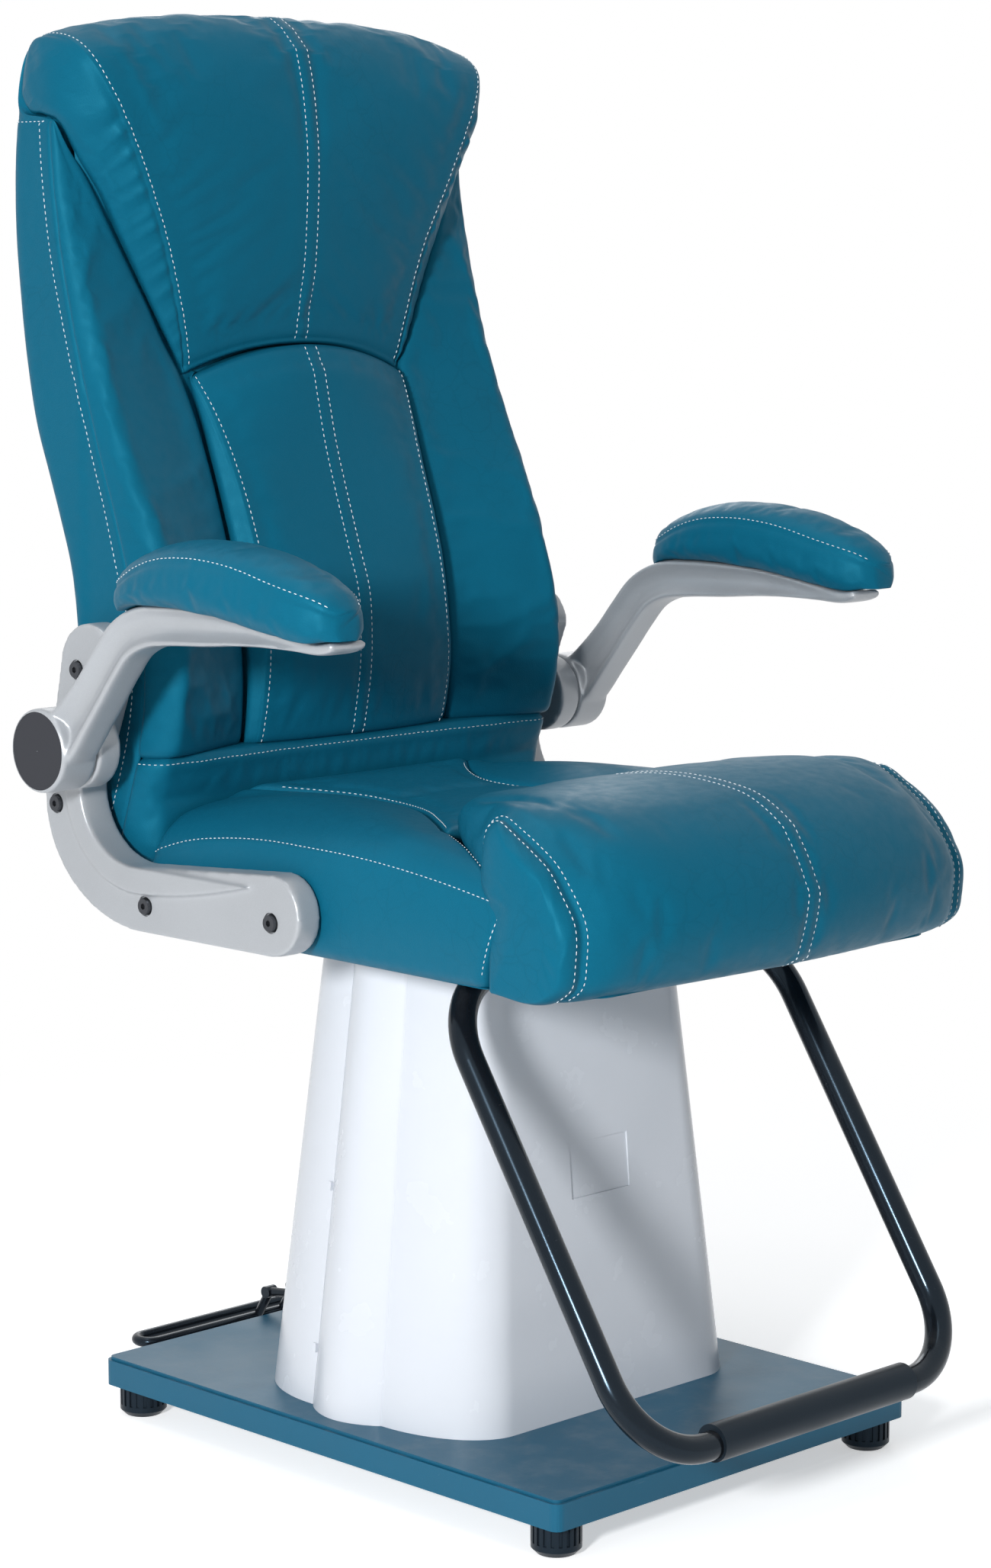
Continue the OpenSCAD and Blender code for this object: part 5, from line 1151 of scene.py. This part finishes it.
bolsterLook = {
    "middleRows": 92, "endRows": 7, "columnCount": 62, "middle": 241.0, "half": 262.0,
    "capDome": 1.5, "capRings": 3, "seamBeside": 8.0, "middleRidge": 6.0,
    "seamGrooves": ((1.8, 1.8), (9, 1.0)), "rearEdge": (8, 4),
    "folds": (41, 60, 330, 20, 6, 1.1), "gussetFolds": (12.0, 1.0), "faceFolds": (5.0, 0.4),
    "sewnRound": 0.86, "softRound": 0.84, "soft": (26, 26, 40),   # rounds are shares of the loop
}


def makeBolster(look):
    keys, count = sorted(bolsterShape), len(bolsterCap)
    lines = [smoothTable([(x, *bolsterShape[x][k]) for x in keys]
                         + [(-x, *bolsterShape[x][k]) for x in keys if x]) for k in range(count)]
    us = stations(look["columnCount"], (), 0.02, 4)

    def ring(x, profile):
        marks = np.concatenate([[0], np.cumsum(np.linalg.norm(np.diff(profile, axis=0), axis=1))])
        curve = smoothTable([(m, *p) for m, p in zip(marks, profile)])
        flat = spread(curve(np.linspace(0, marks[-1], 300)), us)
        return np.stack([np.full(len(us), x), flat[:, 0], flat[:, 1]], -1)

    middle, half, domes = look["middle"], look["half"], look["capRings"]
    xs = middle * (2 * stations(look["middleRows"], (0.0, 1.0), 0.015, 4) - 1)
    rings = [ring(x, np.array([line(x) for line in lines])) for x in xs]
    end, cap = np.array(bolsterShape[middle], float), np.array(bolsterCap, float)
    right = []
    for a in np.radians(90 * np.arange(1, look["endRows"] + 1) / look["endRows"]):
        right.append(ring(middle + (half - middle) * math.sin(a),
                          end + (cap - end) * (1 - math.cos(a))))
    centre = cap.mean(axis=0)
    for k in range(1, domes + 1):
        share = 1 - 0.3 * k
        dome = look["capDome"] * (1 - share ** 2)
        right.append(ring(half + dome, centre + (cap - centre) * share))
    grid = np.stack([r * [-1, 1, 1] for r in right[::-1]] + rings + right)
    # seams at the ends, next to their stitches
    seams = len(right), len(right) + len(rings) - 1
    fromSeam = fromColumns(alongColumns(grid).T, seams).T
    around = alongRows(grid)
    rows = np.arange(len(grid))[:, None]
    endPart = (rows < seams[0]) | (rows > seams[1])
    puck = puckers(around, fromSeam, endPart, foldList(*look["folds"]),
                   look["gussetFolds"], look["faceFolds"])
    outsideCap = (rows >= domes) & (rows < len(grid) - domes)
    stitched, ridge = middleSeam(grid, look["seamBeside"], look["middleRidge"])
    whole = around[:, -1:]
    depth = (grooves(fromSeam, look["seamGrooves"]) + edgeDrop(around, *look["rearEdge"])
             + (stitched - ridge) * (around < look["sewnRound"] * whole) - puck)
    soft = outsideCap * multiplied(near, zip((fromSeam, around, look["softRound"] * whole - around),
                                             look["soft"]))
    grid = sunk(grid, depth * outsideCap, 2, 1, len(us) // 4)
    pad = addLoft("seatBolster", grid, soft, "seat", ["seat_bolster"], 0.7, 3.5)
    pad["seams"] = seams
    return pad


insert = makeInsert(insertLook)
thighs = {side: makeThigh(side, thighLook) for side in sideWords}
bolster = makeBolster(bolsterLook)
print("seat is shaped")

# arm pads

armShape = {
    # centre line (behind the axis, above the hub) and thickness
    "line": [(228, 0, 60), (206, 16, 50), (186, 36, 43), (164, 60, 39), (144, 84, 38),
             (122, 107, 38), (94, 120, 38), (60, 124, 36), (12, 125.5, 33), (-30, 126, 27),
             (-66, 124.5, 21), (-105, 121.5, 15), (-135, 119, 12), (-149, 120, 10), (-158, 123, 8)],
    "hubBack": 233.0,
    "hubZ": 650.0,
    "hubRadius": 38.0,
    "outer": 350.0,
    "inner": 310.0,
    "padMiddle": 341.0,
    "padFront": -170.0,
    "padBack": 116.0,
}


def armSides():
    line = np.array(armShape["line"], float)
    line[:, 1] += armShape["hubZ"]
    dense = smoothLine(line)(np.linspace(0, 1, 220))
    along = np.gradient(dense[:, :2], axis=0)
    along /= np.linalg.norm(along, axis=1, keepdims=True)
    side = np.stack([-along[:, 1], along[:, 0]], -1)
    if side[len(side) // 2, 1] < 0:
        side = -side
    return dense, side


def armTop(y):
    dense, side = armSides()
    upper = dense[:, :2] + side * dense[:, 2:3] / 2
    keep = upper[:, 0] < 150
    order = np.argsort(upper[keep][:, 0])
    return np.interp(y, upper[keep][order][:, 0], upper[keep][order][:, 1])


padShape = {
    # share from front to back -> half width, height of the side seam, height of the crown
    "half": [(0, 11), (0.02, 20), (0.06, 28), (0.13, 34.5), (0.25, 38.5), (0.45, 40), (0.65, 38),
             (0.82, 33), (0.92, 27), (0.97, 20), (1, 12)],
    "seamZ": [(0, 798), (0.05, 806), (0.12, 812), (0.22, 819), (0.35, 828), (0.5, 833), (0.62, 833),
              (0.74, 829), (0.85, 820), (0.93, 810), (1, 802)],
    "crownZ": [(0, 802), (0.03, 812), (0.08, 822), (0.16, 832), (0.28, 842), (0.42, 848),
               (0.56, 850), (0.7, 847), (0.82, 839), (0.92, 827), (0.97, 818), (1, 806)],
}


armPadLook = {
    "rowCount": 66, "lowMarks": 12, "topMarks": 25, "underMarks": 6, "gap": 0.6,
    "seamGrooves": ((1.5, 1.3), (6, 0.7)), "folds": (51, -150, 100, 16, 6, 0.7),
    "foldReach": 7.0, "soft": (18, 22),
}
armPadSeams = (armPadLook["lowMarks"] - 1, armPadLook["lowMarks"] + armPadLook["topMarks"] - 2)


def makeArmPad(side, look):
    front, back = armShape["padFront"], armShape["padBack"]
    vs = stations(look["rowCount"], (0.0, 1.0), 0.035, 5)
    curves = {key: smoothTable(rows) for key, rows in padShape.items()}
    lows = np.linspace(0, 3, look["lowMarks"])
    marks = np.concatenate([lows[:-1], np.linspace(3, 9, look["topMarks"]), (lows + 9)[1:]])
    rings = []
    for v in vs:
        y = front + (back - front) * v
        half, seam, crown = (float(curves[k](v)) for k in ("half", "seamZ", "crownZ"))
        low = float(armTop(y)) + look["gap"]
        seam = max(seam, low + 3)
        rise, arch = seam - low, max(crown, seam + 2) - seam
        widest = 1.0 + 0.02 * min(1.0, half / 30)
        left = [(-0.82 * half, low), (-half, low + 0.28 * rise),
                (-half * widest, low + 0.62 * rise), (-half * 0.95, seam),
                (-half * 0.7, seam + 0.62 * arch), (-half * 0.36, seam + 0.92 * arch)]
        loop = left + [(0, seam + arch)] + [(-x, z) for x, z in left[::-1]]
        upper = smoothTable([(k, *p) for k, p in enumerate(loop)])(marks)
        under = np.stack([np.linspace(0.7 * half, -0.7 * half, look["underMarks"]),
                          np.full(look["underMarks"], low - 0.2)], -1)
        ring = np.concatenate([upper, under])
        rings.append(np.stack([side * (armShape["padMiddle"] + ring[:, 0]),
                               np.full(len(ring), y), ring[:, 1]], -1))
    grid = np.stack(rings)
    fromSeam = fromColumns(alongRows(grid), armPadSeams)
    onTop = (np.arange(grid.shape[1]) < len(marks))[None, :]
    puck = gathers(grid[:, :, 1], fromSeam, foldList(*look["folds"]), look["foldReach"])
    depth = (grooves(fromSeam, look["seamGrooves"]) - puck) * onTop
    grid = sunk(grid, depth, 2, 1, len(marks) // 2)
    fromEnd = fromEnds(alongColumns(grid))
    soft = multiplied(near, zip((fromSeam, fromEnd), look["soft"])) * onTop
    word, tail, body = sideWords[side]
    return addLoft("armPad" + word, grid, soft, body, ["arm_pad" + tail], 0.75, 2.5)


armPads = {side: makeArmPad(side, armPadLook) for side in sideWords}
print("arm pads are shaped")

# painted and moulded hard parts

# prism across the chair from an outline of (behind, up) points
def slab(outline, x0, x1):
    outline = np.array(outline, float)
    count = len(outline)
    points = [(x, y, z) for x in (x0, x1) for y, z in outline]
    faces = [tuple(range(count)), tuple(range(2 * count - 1, count - 1, -1))]
    faces += [(k, (k + 1) % count, count + (k + 1) % count, count + k) for k in range(count)]
    return points, faces


# turned ring round an axis along X from (x, radius) points
def turned(profile, y, z, around=72):
    points, faces = [], []
    for x, radius in profile:
        for a in np.linspace(0, 2 * math.pi, around, endpoint=False):
            points.append((x, y + radius * math.cos(a), z + radius * math.sin(a)))
    rings = len(profile)
    for i in range(rings):
        a, b = i * around, (i + 1) % rings * around
        faces += [(a + k, a + (k + 1) % around, b + (k + 1) % around, b + k) for k in range(around)]
    return points, faces


def evaluated(piece):
    graph = bpy.context.evaluated_depsgraph_get()
    mesh = bpy.data.meshes.new_from_object(piece.evaluated_get(graph), depsgraph=graph)
    old = piece.data
    piece.modifiers.clear()
    piece.data = mesh
    bpy.data.meshes.remove(old)


def cutAway(piece, points, faces, finish, smooth=True):
    cutter = addMesh("cutter", points, faces, finish, smooth)
    cut = piece.modifiers.new("cut", "BOOLEAN")
    cut.operation = "DIFFERENCE"
    cut.object = cutter
    cut.solver = "EXACT"
    evaluated(piece)
    bpy.data.objects.remove(cutter)


# several closed shapes grown together into one soft casting
def fused(name, parts, side, look, cutters):
    points, faces = [], []
    for some, sides in parts:
        start = len(points)
        points += [(side * x, y, z) for x, y, z in some]
        faces += [tuple(n + start for n in face) for face in sides]
    piece = addMesh(name, points, faces, "silver_paint")
    skin = piece.modifiers.new("skin", "REMESH")
    skin.mode = "VOXEL"
    skin.voxel_size = look["voxel"] * mm
    skin.use_smooth_shade = True
    soft = piece.modifiers.new("soft", "SMOOTH")
    soft.factor = 0.5
    soft.iterations = look["rounds"]
    evaluated(piece)
    for some, sides in cutters:
        cutAway(piece, [(side * x, y, z) for x, y, z in some], sides, "silver_paint")
    piece.data.set_sharp_from_angle(angle=math.radians(42))
    return piece


def placed(piece, body, node):
    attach(piece, body)
    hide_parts(node)


def oval(centre, ry, rz, degrees):
    a = math.radians(degrees)
    return (centre[0] + ry * math.cos(a), centre[1] + rz * math.sin(a))


bracketShape = {
    "inner": 263.0, "thick": 27.0, "ridge": 6.5, "hubStart": 283.0, "hubEnd": 309.5,
    "lobe": (234.0, 720.0, 40.0), "bend": (165.0, 600.0), "rear": 300.0, "low": 487.0,
    "innerBend": (168.0, 612.0), "innerRear": 240.0, "innerLow": 547.0,
    "end": (-12.0, 524.0, 36.0), "ridgeWide": 24.0,
    "bolts": [(250, 717), (282, 592), (157, 512), (-12, 518)],
    "boltRadius": 9.3, "boltSink": 3.0, "voxel": 2.0, "rounds": 18,
}


def makeBracket(side, look):
    inner, wide = look["inner"], look["ridgeWide"]
    outerFace = inner + look["thick"]
    bend, innerBend = look["bend"], look["innerBend"]
    turn = np.linspace(0, 90, 25)

    def curve(centre, ry, rz, angles):
        return [oval(centre, ry, rz, a) for a in angles]

    def innerCurve(more, angles):
        return curve(innerBend, look["innerRear"] + more - innerBend[0],
                     innerBend[1] - look["innerLow"] + more, angles)
    inside = innerCurve(0, -turn[::-1])
    lobeRadius, endRadius = look["lobe"][2], look["end"][2]
    outline = (curve(look["lobe"], lobeRadius, lobeRadius, np.linspace(175, 5, 25))
               + curve(bend, look["rear"] - bend[0], bend[1] - look["low"], -turn)
               + curve(look["end"], endRadius, endRadius, -90 - np.linspace(0, 180, 31)) + inside)
    tail = [(160 - 150 * t, look["innerLow"] - wide + wide * t ** 1.6)
            for t in np.linspace(0.05, 1, 14)]
    ridge = inside + [(look["innerRear"], 640), (look["innerRear"] + wide, 640)]
    ridge += innerCurve(wide, -turn) + tail
    hub = turned([(look["hubStart"], 0.5), (look["hubStart"], armShape["hubRadius"]),
                  (look["hubEnd"] - 2, armShape["hubRadius"]),
                  (look["hubEnd"], armShape["hubRadius"] - 2), (look["hubEnd"], 0.5)],
                 armShape["hubBack"], armShape["hubZ"])
    sink, wall = outerFace - look["boltSink"], look["boltRadius"]
    cutters = [turned([(sink, 0.2), (sink, wall), (outerFace + 9, wall), (outerFace + 9, 0.2)],
                      y, z, 40) for y, z in look["bolts"]]
    word, tailWord, _ = sideWords[side]
    parts = [slab(outline, inner, outerFace), hub,
             slab(ridge, inner + 2, outerFace + look["ridge"])]
    placed(fused("bracket" + word, parts, side, look, cutters), "seat", "bracket" + tailWord)


armLook = {
    "squareness": 0.42,                   # smaller is squarer
    "flute": 13.0, "fluteShare": 0.84,    # hollow along both sides of the arm
    "tip": 0.985,                         # share of the length where the tip rounds off
    "sections": 110, "around": 56, "voxel": 1.9, "rounds": 7, "capRadius": 35.2, "capDepth": 6.3,
}


def makeArm(side, look):
    dense, across = armSides()
    pick = np.linspace(0, len(dense) - 1, look["sections"]).astype(int)
    x0, x1, count = armShape["inner"], armShape["outer"], look["around"]
    middle, half = 0.5 * (x0 + x1), 0.5 * (x1 - x0)
    last, tip, power = len(pick) - 1, look["tip"], look["squareness"]
    points = []
    for n, k in enumerate(pick):
        y, z, thick = dense[k]
        s = n / last
        shrink = 1 - 0.75 * max(0, (s - tip) / (1 - tip)) ** 2
        dip = look["flute"] * near(0.86 - s, 0.2) * near(s, 0.06)
        for a in np.linspace(0, 2 * math.pi, count, endpoint=False):
            c, q = math.cos(a), math.sin(a)
            x = half * math.copysign(abs(c) ** power, c)
            b = thick / 2 * math.copysign(abs(q) ** power, q)
            inward = max(0, 1 - (2 * b / (look["fluteShare"] * thick)) ** 2)
            x -= math.copysign(dip * inward * min(1, abs(c) * 1.5), c)
            points.append((middle + x * (1 if s < tip else 0.9 + 0.1 * shrink),
                           y + across[k][0] * b * shrink, z + across[k][1] * b * shrink))
    faces = gridFaces(len(pick), count, closed=True)
    faces += [tuple(range(count)), tuple(range(last * count + count - 1, last * count - 1, -1))]
    y, z, radius = armShape["hubBack"], armShape["hubZ"], armShape["hubRadius"]
    hub = turned([(x0, 0.5), (x0, radius - 2.5), (x0 + 2.5, radius), (x1 - 2.5, radius),
                  (x1, radius - 2.5), (x1, 0.5)], y, z)
    seatFace, wall = x1 - look["capDepth"], look["capRadius"]
    cap = turned([(seatFace, 0.2), (seatFace, wall), (x1 + 6, wall), (x1 + 6, 0.2)], y, z, 96)
    word, tail, body = sideWords[side]
    placed(fused("arm" + word, [(points, faces), hub], side, look, [cap]), body, "arm" + tail)


coverShape = {
    "halfWidth": 210.0, "side": 192.0, "flat": 128.0, "front": 147.0, "back": 152.0,
    "seam": 47.0, "swellStart": 44.0, "backFlat": 120.0, "height": 417.0, "topShare": 0.76,
    "wall": 3.0, "plateTop": 55.0, "seamGap": 0.45,
    "recess": (75.0, 50.0, 195.0, 1.4),   # width, height, height above the plate, depth
    "slot": (16.0, 60.0),                 # half width and height of the pedal's opening
    "rounding": 0.4, "sharpAngle": 35.0,
}


def coverHalf(inset, rear, look):
    side, swell, seam = look["side"] - inset, look["swellStart"], look["seam"]
    if rear:
        back, start = look["back"] - inset, seam + look["seamGap"]
        corner = start + look["wall"]
        half = [(x, back) for x in np.linspace(0, look["backFlat"], 12)[:-1]]
        half += [oval((look["backFlat"], corner), side - look["backFlat"], back - corner, a)
                 for a in np.linspace(90, 0, 48)]
        return np.array(half + [(side, start)])
    front = look["front"] - inset
    half = [(x, -front) for x in np.linspace(0, look["flat"], 12)]
    half += [oval((look["flat"], -swell), side - look["flat"], front - swell, a)
             for a in np.linspace(-90, 0, 40)[1:]]
    half += [(side + (look["halfWidth"] - look["side"]) * math.sin(math.pi * t) ** 0.8,
              (seam - look["seamGap"] + swell) * t - swell)
             for t in (1 - np.cos(np.linspace(0, math.pi, 49)[1:])) / 2]
    return np.array(half)


# shell of one wall all round, narrower towards the top
def makeCover(rear, look):
    outer, inner = (np.concatenate([half[:0:-1] * [-1, 1], half])
                    for half in (coverHalf(inset, rear, look) for inset in (0.0, look["wall"])))
    points = []
    for t in (0.0, 1.0):
        share = 1 + (look["topShare"] - 1) * t
        points += [(x * share, y * share, look["plateTop"] + look["height"] * t)
                   for x, y in np.concatenate([outer, inner[::-1]])]
    total = 2 * len(outer)
    faces = [(k, (k + 1) % total, total + (k + 1) % total, total + k) for k in range(total)]
    for start in (0, total):
        faces += [(start + k, start + k + 1, start + total - 2 - k, start + total - 1 - k)
                  for k in range(len(outer) - 1)]
    piece = addMesh("rearCover" if rear else "frontCover", points, faces, "white_shell")
    if rear:
        w, h = look["slot"]
        box = [(x, y, z) for x in (-w, w) for y in (90, 220) for z in (40, look["plateTop"] + h)]
    else:
        w, h, up, deep = look["recess"]
        narrowing = (1 - look["topShare"]) / look["height"]
        tilt = math.atan(look["front"] * narrowing)
        y0, z0 = -look["front"] * (1 - narrowing * up), look["plateTop"] + up
        box = [(x, y0 + a * math.cos(tilt) + b * math.sin(tilt),
                z0 - a * math.sin(tilt) + b * math.cos(tilt))
               for x in (-w / 2, w / 2) for a in (-6, deep) for b in (0, h)]
    sides = [(0, 1, 3, 2), (4, 6, 7, 5), (0, 4, 5, 1), (2, 3, 7, 6), (0, 2, 6, 4), (1, 5, 7, 3)]
    cutAway(piece, box, sides, "white_shell", smooth=False)
    sharp = math.radians(look["sharpAngle"])
    piece.data.set_sharp_from_angle(angle=sharp)
    rounding = piece.modifiers.new("rounding", "BEVEL")
    rounding.width = look["rounding"] * mm
    rounding.segments = 2
    rounding.limit_method = "ANGLE"
    rounding.angle_limit = sharp
    rounding.harden_normals = True
    placed(piece, "base", "rear_cover" if rear else "front_cover")


for side in sideWords:
    makeBracket(side, bracketShape)
    makeArm(side, armLook)
for rear in (False, True):
    makeCover(rear, coverShape)
print("hard parts are shaped")

# filling the pads

clothLook = {
    "frames": 12, "pressure": 4.0, "slack": -0.012, "quality": 4, "mass": 0.3,
    "stretch": 18.0, "shear": 8.0, "bending": 1.2, "hold": 1.5,
    "heldShare": 0.92,                    # how much less a face's middle is held than its seams
}


def puffPads(values):
    for pad in pads:
        piece = pad["piece"]
        group = piece.vertex_groups.new(name="held")
        for number, free in enumerate(pad["free"]):
            group.add([number], float(1 - values["heldShare"] * free), "REPLACE")
        cloth = piece.modifiers.new("cloth", "CLOTH")
        settings = cloth.settings
        settings.quality = values["quality"]
        settings.mass = values["mass"]
        settings.tension_stiffness = settings.compression_stiffness = values["stretch"]
        settings.shear_stiffness = values["shear"]
        settings.bending_stiffness = values["bending"]
        settings.vertex_group_mass = "held"
        settings.pin_stiffness = values["hold"]
        settings.use_pressure = True
        settings.uniform_pressure_force = values["pressure"]
        settings.shrink_min = values["slack"]
        settings.effector_weights.gravity = 0
        cloth.collision_settings.use_collision = False
        cloth.collision_settings.use_self_collision = False
        cloth.point_cache.frame_start = 1
        cloth.point_cache.frame_end = values["frames"]
    for number in range(1, values["frames"] + 1):
        bpy.context.scene.frame_set(number)
    graph = bpy.context.evaluated_depsgraph_get()
    for pad in pads:
        piece, limit = pad["piece"], pad["most"] * mm
        before = vertexPlaces(piece.data)
        move = (vertexPlaces(piece.evaluated_get(graph).data) - before) * pad["free"][:, None]
        size = np.linalg.norm(move, axis=1, keepdims=True)
        size = np.maximum(size, 1e-9)
        move = move * limit * np.tanh(size / limit) / size
        pad["moved"] = float(np.abs(move).max() / mm)
        piece.modifiers.remove(piece.modifiers["cloth"])
        piece.vertex_groups.clear()
        piece.data.vertices.foreach_set("co", (before + move).reshape(-1))
        piece.data.update()
    bpy.context.scene.frame_set(1)


puffPads(clothLook)
print("pads are filled:", {pad["piece"].name: round(pad["moved"], 1) for pad in pads})

for pad in pads:
    finer = pad["piece"].modifiers.new("finer", "SUBSURF")
    finer.levels = finer.render_levels = 1
    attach(pad["piece"], pad["body"])
    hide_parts(*pad["replaced"])

# stitches

thread = {"spacing": 5.7, "length": 3.5, "thickness": 0.9, "shortest": 0.86, "longest": 1.08,
          "lift": 0.3, "seed": 4}


# short beads of thread along the edges of a mesh
def stitchTree(values):
    tree = bpy.data.node_groups.new("stitchRows", "GeometryNodeTree")
    face = tree.interface
    face.new_socket("Geometry", in_out="INPUT", socket_type="NodeSocketGeometry")
    for label in ("Spacing", "Length", "Thickness"):
        face.new_socket(label, in_out="INPUT", socket_type="NodeSocketFloat")
    face.new_socket("Geometry", in_out="OUTPUT", socket_type="NodeSocketGeometry")

    def make(kind, inputs=None, **settings):
        node = put(tree, kind, **settings)
        for label, value in (inputs or {}).items():
            node.inputs[label].default_value = value
        return node.inputs, node.outputs
    _, given = make("NodeGroupInput")
    curveIn, curve = make("GeometryNodeMeshToCurve")
    evenIn, even = make("GeometryNodeResampleCurve", mode="LENGTH")
    _, heading = make("GeometryNodeInputTangent")
    turnIn, turn = make("FunctionNodeAlignRotationToVector", axis="X")
    _, bead = make("GeometryNodeMeshUVSphere", {"Segments": 6, "Rings": 4, "Radius": 0.5})
    _, chance = make("FunctionNodeRandomValue", {2: values["shortest"], 3: values["longest"],
                                                 "Seed": values["seed"]}, data_type="FLOAT")
    longerIn, longer = make("ShaderNodeMath", operation="MULTIPLY")
    sizeIn, size = make("ShaderNodeCombineXYZ")
    shapeIn, shape = make("GeometryNodeTransform", {"Rotation": (0, 0.5 * math.pi, 0)})
    spotsIn, spots = make("GeometryNodeInstanceOnPoints")
    realIn, real = make("GeometryNodeRealizeInstances")
    paintIn, paint = make("GeometryNodeSetMaterial", {"Material": finishes["thread"]})
    outIn, _ = make("NodeGroupOutput")
    wire(tree, (given["Geometry"], curveIn[0]), (curve[0], evenIn["Curve"]),
         (given["Spacing"], evenIn["Length"]), (even[0], spotsIn["Points"]),
         (heading[0], turnIn["Vector"]), (turn[0], spotsIn["Rotation"]),
         (bead["Mesh"], shapeIn["Geometry"]), (shape[0], spotsIn["Instance"]),
         (given["Length"], longerIn[0]), (chance[1], longerIn[1]), (longer[0], sizeIn["X"]),
         (given["Thickness"], sizeIn["Y"]), (given["Thickness"], sizeIn["Z"]),
         (size[0], spotsIn["Scale"]), (spots[0], realIn[0]), (real[0], paintIn["Geometry"]),
         (paint[0], outIn[0]))
    return tree


# a row of stitches along a pad's grid, from row and column numbers
def rowOn(pad, rows, columns):
    grid = padGrid(pad)
    n = gridNormals(grid)
    centre = vertexPlaces(pad["piece"].data).mean(axis=0) / mm
    if np.sum(n * (grid - centre)) < 0:
        n = -n
    i, j = np.asarray(rows, float), np.asarray(columns, float)
    a = np.clip(i.astype(int), 0, grid.shape[0] - 2)
    b = np.clip(j.astype(int), 0, grid.shape[1] - 2)
    u, v = (i - a)[:, None], (j - b)[:, None]

    def mixed(field):
        return ((1 - u) * (1 - v) * field[a, b] + u * (1 - v) * field[a + 1, b]
                + (1 - u) * v * field[a, b + 1] + u * v * field[a + 1, b + 1])
    return mixed(grid) + mixed(n) * thread["lift"]


# number along a row or column of lengths at which a length is reached
def numberAt(lengths, length):
    return np.interp(length, lengths, np.arange(len(lengths)))


def besideColumn(pad, column, distance, skip=(2, 2)):
    along = alongRows(padGrid(pad))
    rows = np.arange(skip[0], pad["rows"] - skip[1])
    return rowOn(pad, rows, [numberAt(along[i], along[i, column] + distance) for i in rows])


def besideRow(pad, row, distance, skip=(2, 2), end=None):
    up = alongColumns(padGrid(pad))
    columns = np.arange(skip[0], end or pad["columns"] - skip[1])
    return rowOn(pad, [numberAt(up[:, j], up[row, j] + distance) for j in columns], columns)


def atWidth(pad, x, low, high):
    wide = padGrid(pad)[:, low:high, 0]
    rows = np.arange(2, pad["rows"] - 2)
    return rowOn(pad, rows, [low + numberAt(wide[i], x) for i in rows])


def sewOn(name, body, lines, tree):
    points, edges = [], []
    for line in lines:
        start = len(points)
        points += [tuple(p) for p in np.asarray(line) * mm]
        edges += [(start + k, start + k + 1) for k in range(len(line) - 1)]
    mesh = bpy.data.meshes.new(name)
    mesh.from_pydata(points, edges, [])
    piece = bpy.data.objects.new(name, mesh)
    bpy.context.scene.collection.objects.link(piece)
    maker = piece.modifiers.new("rows", "NODES")
    maker.node_group = tree
    for label in ("Spacing", "Length", "Thickness"):
        socket = next(s for s in tree.interface.items_tree if s.name == label)
        maker[socket.identifier] = thread[label.lower()] * mm
    piece.update_tag()
    evaluated(piece)
    if not piece.data.materials:
        piece.data.materials.append(finishes["thread"])
    for face in piece.data.polygons:
        face.use_smooth = True
    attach(piece, body)


sewLook = {
    # distances from a seam or edge to the stitches beside it
    "seam": 5.5, "band": 6.5, "thighSide": 5.0, "thighFront": 6.0, "insert": 9.0,
    "bolster": (5.5, -7.5), "bolsterMiddle": 7.0, "armPad": 5.0,
    "bolsterShare": 0.8,                  # part of the bolster's round that is sewn
    # height -> distance of the side panel's stitches from its seam
    "panel": [(566, 20), (807, 14), (917, 11), (1005, 12), (1103, 14), (1194, 14), (1215, 14)],
    "panelTop": 1209.0, "panelReach": (14.0, 92.0), "panelMarks": 14,
}


def sewPads(look):
    tree, rows = stitchTree(thread), []
    beside, middle = look["seam"], backShape["middleSeam"]
    for pad, own in ((headrest, headLook), (lumbar, lumbarLook)):
        first = own["gussetColumns"]
        last = pad["columns"] - 1 - first
        rows += [besideColumn(pad, first, beside), besideColumn(pad, last, -beside)]
        rows += [atWidth(pad, x, first + 4, last - 4) for x in (-middle, middle)]
    rows.append(besideRow(band, band["rows"] - 1, -look["band"]))
    for thigh in thighs.values():
        rows += [besideColumn(thigh, thigh["seamColumn"], -look["thighSide"]),
                 besideRow(thigh, 0, look["thighFront"], (8, 3))]
    rows += [besideColumn(insert, 0, look["insert"], (6, 8)),
             besideColumn(insert, insert["columns"] - 1, -look["insert"], (6, 8))]
    # side panels of the back, and their turn along the top
    grid = padGrid(shell)
    along, inset = alongRows(grid), smoothTable(look["panel"])
    turn, marks = int(np.argmin(np.abs(grid[:, 2, 2] - look["panelTop"]))), look["panelMarks"]
    for first, sign in ((0, 1), (shell["columns"] - 1, -1)):
        some = np.arange(3, turn + 1)
        inward = sign * inset(grid[some, first, 2])
        rows.append(rowOn(shell, some, [numberAt(along[i], along[i, first] + d)
                                        for i, d in zip(some, inward)]))
        reach = sign * np.linspace(*look["panelReach"], marks)
        rows.append(rowOn(shell, np.full(marks, turn),
                          [numberAt(along[turn], along[turn, first] + d) for d in reach]))
    sewn = int(bolster["columns"] * look["bolsterShare"])
    for seam, sign in zip(bolster["seams"], (1, -1)):
        rows += [besideRow(bolster, seam, sign * d, end=sewn) for d in look["bolster"]]
    wide, some = padGrid(bolster)[:, :, 0], np.arange(2, sewn)
    rows += [rowOn(bolster, [numberAt(wide[:, j], x) for j in some], some)
             for x in (-look["bolsterMiddle"], look["bolsterMiddle"])]
    sewOn("seatThread", "seat", rows, tree)
    for side, (word, _, body) in sideWords.items():
        lines = [besideColumn(armPads[side], column, distance, (4, 4))
                 for column, distance in zip(armPadSeams, (look["armPad"], -look["armPad"]))]
        sewOn("padThread" + word, body, lines, tree)


sewPads(sewLook)
print("stitches are sewn")
